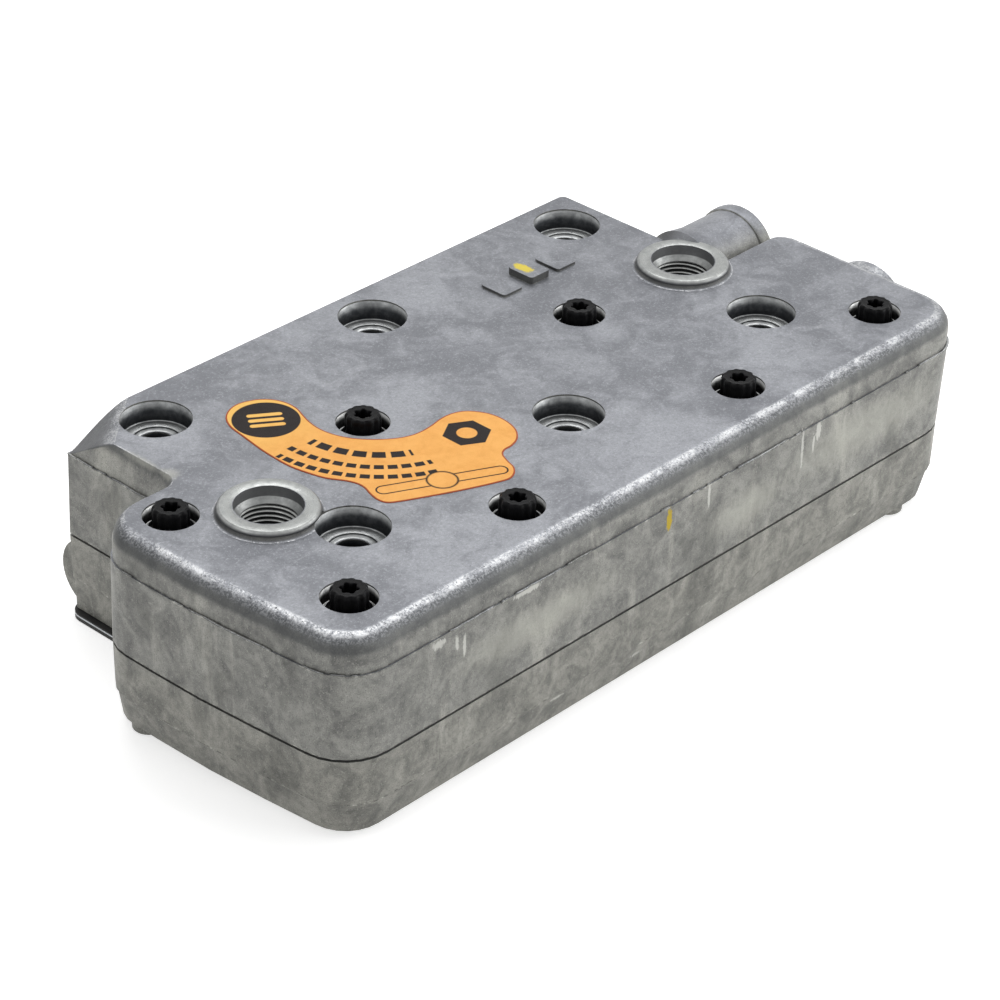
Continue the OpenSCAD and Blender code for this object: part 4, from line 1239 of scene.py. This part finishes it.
@dataclass
class Label:
    """Printed film on the top face, with a thin border and plain generic marks."""

    thick: float = 0.2
    border: float = 0.9
    disc: Point = (-65.6, 17.4)
    disc_r: float = 9.9
    bend: Point = (-35.5, 2.0)
    hexagon: Point = (-29.6, -27.6)
    hexagon_r: float = 6.3
    slot: Point = (-53.0, -40.5)
    slot_turn: float = -0.459
    dial_r: float = 4.4
    orange: Colour = rgb(246, 182, 100)
    deep_orange: Colour = rgb(234, 166, 86)
    faded: Colour = rgb(248, 208, 112)
    ink: Colour = rgb(24, 16, 14)
    cut_edge: Colour = rgb(168, 82, 48)
    rows: tuple[tuple[float, ...], ...] = (
        (29.3, 1.6, 0.06, 1.12, 34), (35.9, 1.1, 0.0, 1.22, 58), (41.1, 1.1, 0.02, 1.20, 66))
    edge: tuple[Point, ...] = (
        (-75.5, 21.9), (-76.6, 15.4), (-77.9, 6.9), (-78.4, 0.2), (-78.4, -5.8), (-77.4, -11.2),
        (-75.7, -17.0), (-72.8, -21.8), (-71.4, -25.3), (-71.5, -28.3), (-72.6, -31.5), (-73.3, -35.1),
        (-72.5, -38.1), (-69.5, -40.2), (-64.3, -42.8), (-57.6, -46.0), (-50.8, -49.0), (-43.3, -51.9),
        (-38.9, -53.1), (-35.6, -51.9), (-33.4, -49.5), (-32.4, -46.5), (-30.8, -43.0), (-28.5, -41.5),
        (-25.4, -41.3), (-22.0, -40.1), (-19.0, -37.5), (-17.1, -33.9), (-16.3, -29.2), (-16.9, -24.7),
        (-19.0, -20.7), (-21.7, -18.1), (-25.2, -16.8), (-29.3, -16.7), (-33.9, -17.5), (-38.4, -17.8),
        (-42.6, -17.1), (-46.8, -15.0), (-51.4, -11.2), (-55.0, -6.8), (-57.1, -2.1), (-57.9, 2.7),
        (-57.4, 7.5), (-56.0, 12.0), (-54.6, 16.0), (-54.5, 20.4), (-55.9, 24.2), (-58.5, 27.1),
        (-61.7, 28.9), (-65.4, 29.8), (-69.3, 29.0), (-73.0, 26.4))

    def outline(self) -> np.ndarray:
        """Outline of the film, a smooth closed curve through its edge points.

        Between two points it is the cubic whose ends' slopes are half the step between the
        neighbours on either side.

        Returns:
            Points of shape (n, 2), anticlockwise.
        """
        p = np.array(self.edge)
        ahead, slope = np.roll(p, -1, axis=0), (np.roll(p, -1, axis=0) - np.roll(p, 1, axis=0)) / 2
        t = np.linspace(0, 1, 6, endpoint=False)[:, None, None]
        curve = (p * (2 * t ** 3 - 3 * t ** 2 + 1) + ahead * (3 * t ** 2 - 2 * t ** 3)
                 + slope * (t ** 3 - 2 * t ** 2 + t) + np.roll(slope, -1, axis=0) * (t ** 3 - t ** 2))
        return curve.transpose(1, 0, 2).reshape(-1, 2)

    def build(self, material: bpy.types.Material) -> None:
        """Makes the film: a wall, a rounded edge, a border band and a flat middle.

        Args:
            material: the printed film.
        """
        line = self.outline()
        inward = -outward(line)
        insets = [(0.0, 0.0), (0.0, 0.13), (0.05, 0.18), (0.12, self.thick), (self.border, self.thick)]
        rings = np.stack([np.concatenate([line + inward * d, np.full((len(line), 1), TOP_Z + z)], 1)
                          for d, z in insets])
        mesh = grid_mesh("label_film", rings, Wrap.ROUND, caps=True)
        mesh.polygons.foreach_set("use_smooth", np.zeros(len(mesh.polygons), bool))
        edge = mesh.attributes.new("edge", "FLOAT", "POINT")
        share = np.repeat([1.0, 1.0, 1.0, 1.0, 0.0], len(line))
        edge.data.foreach_set("value", share.astype(np.float32))
        place(join("label_print", [mesh]), material, "label_film", "label")

    def finish(self, effects: Effects) -> bpy.types.Material:
        """Orange film with a thin edge line and plain marks: a disc, dashes, a hexagon and a slot.

        Args:
            effects: the shared node groups.

        Returns:
            The material.
        """
        base = Finish()
        material, g, shader, p = base.begin("label_film", 0.0, 0.12)
        group = g.add("ShaderNodeGroup", {
            "Place": p, "Clean": self.orange, "Dirty": self.deep_orange, "Grain": 5.0,
            "Gloss": 0.42}, node_tree=effects.grime)
        colour = g.mix(g.span(g.split(p)[1], -5.0, 26.0, 0.0, 0.55), group.outputs["Color"], self.faded)
        marks = g.span(self._round(g, p, self.disc), self.disc_r + 0.15, self.disc_r - 0.15)
        for shift in (-2.9, 0.0, 2.9):
            middle = (self.disc[0] + 0.55 * shift, self.disc[1] + 0.83 * shift)
            marks = g.product(marks, g.inverse(self._bar(g, p, middle, 5.2, 0.85, -0.6)))
        for row in self.rows:
            marks = g.math("MAXIMUM", marks, self._row(g, p, *row))
        marks = g.math("MAXIMUM", marks, self._hexagon(g, p))
        slot = self._bar(g, p, self.slot, 19.6, 2.3, self.slot_turn)
        inner = self._bar(g, p, self.slot, 19.1, 1.8, self.slot_turn)
        marks = g.math("MAXIMUM", marks, g.product(slot, g.inverse(inner)))
        far = self._round(g, p, self.slot)
        marks = g.product(marks, g.span(far, self.dial_r - 0.2, self.dial_r))
        marks = g.math("MAXIMUM", marks, g.near(far, self.dial_r, 0.6))
        edge = g.add("ShaderNodeAttribute", attribute_name="edge").outputs["Fac"]
        colour = g.mix(g.span(edge, 0.50, 0.62), g.mix(marks, colour, self.ink), self.cut_edge)
        base.end(g, shader, colour, group)
        return material

    @staticmethod
    def _round(g: Graph, p: Socket, centre: Point) -> Socket:
        """Distance in the plane from a point of the film, in millimetres."""
        return g.length(g.stretch(g.offset(p, (*centre, 0)), 1, 1, 0))

    @staticmethod
    def _bar(g: Graph, p: Socket, centre: Point, half_l: float, half_w: float, turn: float) -> Socket:
        """Bar with round ends, by the distance from its middle line.

        Args:
            g: the film's graph.
            p: position in millimetres.
            centre: middle of the bar.
            half_l: half its length.
            half_w: half its width.
            turn: its direction, in radians.

        Returns:
            One inside the bar, zero outside.
        """
        x, y, _ = g.split(g.turn(g.offset(p, (*centre, 0)), -turn))
        past = g.math("MAXIMUM", g.math("SUBTRACT", g.math("ABSOLUTE", x), half_l - half_w), 0.0)
        far = g.math("SQRT", g.math("ADD", g.product(past, past), g.product(y, y)))
        return g.span(far, half_w + 0.12, half_w - 0.12)

    def _row(self, g: Graph, p: Socket, radius: float, half: float, first: float, last: float,
             dashes: float) -> Socket:
        """Row of dashes along an arc: near its radius, between two angles, where a wave is high.

        Args:
            g: the film's graph.
            p: position in millimetres.
            radius: radius of the arc.
            half: half the height of a dash.
            first: angle where the row starts, in radians.
            last: angle where it ends.
            dashes: waves per turn.

        Returns:
            One inside the dashes, zero outside.
        """
        off = g.math("ABSOLUTE", g.math("SUBTRACT", self._round(g, p, self.bend), radius))
        x, y, _ = g.split(p)
        angle = g.math("ARCTAN2", g.math("SUBTRACT", self.bend[1], y), g.math("SUBTRACT", self.bend[0], x))
        wave = g.math("SINE", g.math("MULTIPLY", angle, dashes))
        return g.product(g.span(off, half + 0.1, half - 0.1), g.span(angle, first, first + 0.01),
                         g.span(angle, last, last - 0.01), g.span(wave, -0.75, -0.55))

    def _hexagon(self, g: Graph, p: Socket) -> Socket:
        """Plain hexagon with a round hole.

        Args:
            g: the film's graph.
            p: position in millimetres.

        Returns:
            One inside the hexagon and outside its hole, zero elsewhere.
        """
        x, y, _ = g.split(g.offset(p, (*self.hexagon, 0)))
        dx, dy = g.math("ABSOLUTE", x), g.math("ABSOLUTE", y)
        far = g.math("MAXIMUM", dx, g.total((dx, 0.5), (dy, 0.866)))
        hole = g.span(self._round(g, p, self.hexagon), self.hexagon_r * 0.45, self.hexagon_r * 0.5)
        return g.product(g.span(far, self.hexagon_r + 0.12, self.hexagon_r - 0.12), hole)


@dataclass
class SmallParts:
    """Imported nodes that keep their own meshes, with the finish and nodes of each slot."""

    parts: dict[str, tuple[PlainFinish, tuple[str, ...]]]

    def build(self, frame: dict, effects: Effects) -> None:
        """Dresses the nodes.

        Args:
            frame: the loaded frame.
            effects: the shared node groups.
        """
        for slot, (finish, names) in self.parts.items():
            material = finish.build(effects)
            for name in names:
                node = frame["nodes"][name]
                node.data.materials.clear()
                node.data.materials.append(material)
                log.info("%s dressed in %s", name, material.name)


@dataclass(frozen=True)
class Lamp:
    """Rectangular soft lamp: where it hangs and what it faces, in metres, and its power in watts."""

    name: str
    spot: Solid
    aim: Solid
    size: Point
    power: float

    def build(self) -> None:
        """Hangs the lamp."""
        data = bpy.data.lights.new(self.name, "AREA")
        data.shape, data.size, data.size_y = "RECTANGLE", *self.size
        data.energy = self.power
        lamp = bpy.data.objects.new(self.name, data)
        lamp.location = self.spot
        lamp.rotation_euler = (Vector(self.aim) - Vector(self.spot)).to_track_quat("-Z", "Y").to_euler()
        bpy.context.scene.collection.objects.link(lamp)


@dataclass
class Studio:
    """Pale floor and backdrop, soft lamps and the camera at the photograph's angle."""

    eye: Solid = (-0.63768, -0.59145, 0.55911)
    azimuth: float = -47.858
    elevation: float = 31.856
    roll: float = 1.910
    lens: float = 121.85
    floor_half: float = 6.0
    floor_z: float = -0.0002
    floor_tint: Colour = (0.86, 0.86, 0.86, 1.0)
    floor_glow: tuple[float, float] = (0.6, 0.73)
    glow_from: tuple[float, float] = (0.5, 1.6)
    fill: float = 0.34
    white: Colour = (1.0, 1.0, 1.0, 1.0)
    lamps: tuple[Lamp, ...] = (
        Lamp("overhead", (0.40, 0.30, 1.15), (0.05, 0, 0.03), (1.3, 0.8), 9.8),
        Lamp("left", (-1.3, 0.1, 0.8), (0, 0, 0.03), (0.5, 0.9), 2.5),
        Lamp("front", (0.9, -0.95, 0.55), (0.05, -0.05, 0.03), (1.5, 0.9), 12))

    def camera(self) -> None:
        """Camera whose back points from its turn and rise, and which is rolled about its own axis."""
        a, e, r = (math.radians(v) for v in (self.azimuth, self.elevation, self.roll))
        back = Vector((math.sin(a) * math.cos(e), -math.cos(a) * math.cos(e), math.sin(e)))
        right = (-back).cross(Vector((0, 0, 1))).normalized()
        up = right.cross(-back)
        right, up = (math.cos(r) * right + math.sin(r) * up, -math.sin(r) * right + math.cos(r) * up)
        data = bpy.data.cameras.new("camera")
        data.lens, data.sensor_width, data.clip_start, data.clip_end = self.lens, 36, 0.01, 50
        data.sensor_fit = "HORIZONTAL"
        eye = bpy.data.objects.new("camera", data)
        turn = Matrix((right, up, back)).transposed().to_4x4()
        eye.matrix_world = Matrix.Translation(self.eye) @ turn
        bpy.context.scene.collection.objects.link(eye)
        bpy.context.scene.camera = eye

    def floor(self) -> None:
        """Pale floor under the part, which keeps its shadow and is white far from it."""
        half, low = self.floor_half, self.floor_z
        mesh = bpy.data.meshes.new("floor")
        mesh.from_pydata([(-half, -half, low), (half, -half, low), (half, half, low), (-half, half, low)],
                         [], [(0, 1, 2, 3)])
        floor = bpy.data.objects.new("floor", mesh)
        bpy.context.scene.collection.objects.link(floor)
        material = bpy.data.materials.new("floor_white")
        material.use_nodes = True
        material.node_tree.nodes.clear()
        g = Graph(material.node_tree)
        matt = g.add("ShaderNodeBsdfDiffuse", {"Color": self.floor_tint}).outputs[0]
        far = g.length(g.add("ShaderNodeTexCoord").outputs["Object"])
        strength = self.seen(g, g.span(far, *self.glow_from, *self.floor_glow))
        glow = g.add("ShaderNodeEmission", {"Color": self.white, "Strength": strength})
        total = g.add("ShaderNodeAddShader", {0: matt, 1: glow.outputs[0]}).outputs[0]
        g.add("ShaderNodeOutputMaterial", {"Surface": total})
        mesh.materials.append(material)

    @staticmethod
    def seen(g: Graph, strength: object) -> Socket:
        """Strength that only what is seen gets, directly or in metal and glass.

        Args:
            g: graph of the floor or the world.
            strength: the strength.

        Returns:
            The strength for rays from the eye, a reflection or a transmission, else zero.
        """
        path = g.add("ShaderNodeLightPath").outputs
        rays = g.math("ADD", path["Is Camera Ray"], path["Is Glossy Ray"])
        rays = g.math("ADD", rays, path["Is Transmission Ray"], clamp=True)
        return g.math("MULTIPLY", rays, strength)

    def world(self) -> None:
        """White to the eye and in reflections, and a soft even fill light."""
        world = bpy.data.worlds.new("studio")
        world.use_nodes = True
        world.node_tree.nodes.clear()
        g = Graph(world.node_tree)
        strength = g.math("ADD", self.fill, self.seen(g, 1.0 - self.fill))
        back = g.add("ShaderNodeBackground", {"Color": self.white, "Strength": strength})
        g.add("ShaderNodeOutputWorld", {"Surface": back.outputs[0]})
        bpy.context.scene.world = world

    def build(self) -> None:
        """Sets the scene, its lamps and its plain view."""
        bpy.context.scene.view_settings.view_transform = "Standard"
        self.floor()
        self.world()
        for lamp in self.lamps:
            lamp.build()
        self.camera()


PAINT = rgb(196, 178, 66)
DRIED_PAINT = rgb(168, 146, 34)

UPPER_FINISH = CastFinish(
    "cast_upper",
    dabs=(Mark((52.4, 26.6, TOP_Z + 2.4), (2.6, 4.6, 1.6), PAINT),
          Mark((-4.9, FRONT_Y, 51.2), (1.6, 1.6, 5.2), DRIED_PAINT)),
    stains=(Mark((-137, -74.5, 45), (3, 2.4, 13)), Mark((-133, -80, 44), (2.4, 2.4, 13)),
            Mark((-106.2, 25.5, TOP_Z), (2.0, 8.5, 1.5)), Mark((-105.6, 15.0, TOP_Z), (3.4, 3.0, 1.5)),
            Mark((-60, FRONT_Y, 42), (30, 4, 6)), Mark((85, FRONT_Y, 44), (34, 4, 8)),
            Mark((30, FRONT_Y, 40), (16, 4, 6))),
    scuffs=(Mark((-98.4, FRONT_Y, 53.2), (3.6, 3, 1.8)), Mark((-91.5, FRONT_Y, 50.5), (1.0, 3, 3.4)),
            Mark((-88.6, FRONT_Y, 48.5), (0.8, 3, 5.5)), Mark((-63.5, FRONT_Y, 54.4), (8.0, 3, 1.3)),
            Mark((12.5, FRONT_Y, 52.0), (0.7, 3, 6.5)), Mark((55.2, FRONT_Y, 50.0), (0.8, 3, 9.0)),
            Mark((62.5, FRONT_Y, 52.5), (1.7, 3, 4.5)), Mark((60.5, FRONT_Y, 49.0), (0.8, 3, 4.0)),
            Mark((LEFT_X, -61.1, 57.0), (3, 0.7, 3.0)), Mark((LEFT_X, -52.0, 55.6), (3, 5.0, 1.0))))

LOWER_FINISH = CastFinish(
    "cast_lower", rgb(118, 119, 116), rgb(142, 142, 137), rgb(100, 100, 96), rgb(150, 149, 142),
    seams=(FOOT_Z, LOWER_Z),
    scuffs=(Mark((-14.5, FRONT_Y, 9.0), (5, 3, 1.2)), Mark((-48.8, FRONT_Y, 11.0), (4, 3, 0.9))))

TORN_FINISH = CastFinish("torn_metal", top_dark=rgb(150, 150, 146), side_dark=rgb(96, 96, 90),
                         side_light=rgb(186, 186, 178))

# The third tint of each turned finish is painted shade on its upright faces.
RING_FINISH = TurnedFinish("turned_aluminium")
SEAT_FINISH = TurnedFinish("spot_faced", rgb(172, 174, 174), rgb(132, 134, 135), rgb(40, 42, 45))
# Near-black walls of the clamp screws' counterbores: painted shade.
SHADED_SEAT_FINISH = TurnedFinish("shaded_screw_seat", rgb(206, 207, 206), rgb(160, 161, 161), rgb(6, 6, 7))
# The thread's grooves carry painted shade.
THREAD_FINISH = TurnedFinish("cut_thread", rgb(206, 208, 206), rgb(170, 172, 170), rgb(170, 171, 170), True)

BLACK_STEEL = PlainFinish("black_steel", rgb(6, 6, 7), rgb(15, 15, 17), 0.1, 0.36, specular=0.08)

SMALL_PARTS = {
    "gasket": (PlainFinish("gasket_black", rgb(26, 26, 27), rgb(48, 47, 45), 0.0, 0.62),
               ("head_gasket", "leaf_gasket", "block_gasket")),
    "ground_steel": (PlainFinish("ground_steel", rgb(186, 187, 188), rgb(160, 161, 162), 0.9, 0.28),
                     ("dowel_sleeves",)),
    "plated_steel": (PlainFinish("plated_steel", rgb(150, 147, 134), rgb(112, 108, 94), 0.75, 0.46),
                     ("core_plugs",)),
    "seat_steel": (PlainFinish("seat_steel", rgb(150, 154, 158), rgb(126, 130, 136), 0.9, 0.25),
                   ("delivery_seat_1", "delivery_seat_2", "suction_seat_1", "suction_seat_2")),
    "spring_steel": (PlainFinish("spring_steel", rgb(190, 194, 198), rgb(164, 166, 168), 0.95, 0.2),
                     ("delivery_root_1", "delivery_root_2", "delivery_reed_1", "delivery_reed_2",
                      "suction_leaf_sheet", "suction_reed_1", "suction_reed_2")),
    "stop_steel": (PlainFinish("stop_steel", rgb(108, 112, 116), rgb(84, 86, 88), 0.7, 0.45),
                   ("delivery_stop_1", "delivery_stop_2")),
    "black_steel": (BLACK_STEEL, ("delivery_screws",))}


def main() -> None:
    """Loads the frame and builds every sub-assembly in order."""
    logging.basicConfig(level=logging.INFO, format="%(name)s: %(message)s", force=True)
    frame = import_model()
    Studio().build()
    effects = Effects()
    threads = [Thread(Axis.Z, centre, 8.19, 51.15, 63.65) for centre in COOLANT_PORTS]
    threads.append(Thread(Axis.X, DELIVERY_PORT, 12.19, 122.1, 138.1, depth=0.8))
    upper = Casting("upper_head", "cast_upper", threads=tuple(threads))
    upper.build(frame, UPPER_FINISH.build(effects))
    Casting("lower_head", "cast_lower", edge=0.35).build(frame, LOWER_FINISH.build(effects))
    MachinedFaces().build(RING_FINISH.build(effects), SEAT_FINISH.build(effects),
                          SHADED_SEAT_FINISH.build(effects), THREAD_FINISH.build(effects), threads)
    ClampScrews().build(BLACK_STEEL.build(effects))
    torn = TORN_FINISH.build(effects)
    PartingFlash("rim_flash", RIM_Z, 0.3, 0.3, 2.36, 0.34, 11, gaps=(
        (137, -43.5, 17), (116, -9.3, 11), (128, -9.3, 11), (104, 5, 20))).build(torn, "cast_upper")
    PartingFlash("foot_flash", FOOT_Z, 0.55, 0.4, 0.0, 0.28, 23, 0.0, gaps=(
        (133.5, -25, 10), (133.5, -64, 10), (-62, 57, 46), (26, 57, 52))).build(torn, "cast_lower")
    label = Label()
    label.build(label.finish(effects))
    SmallParts(SMALL_PARTS).build(frame, effects)


if __name__ == "__main__":
    main()
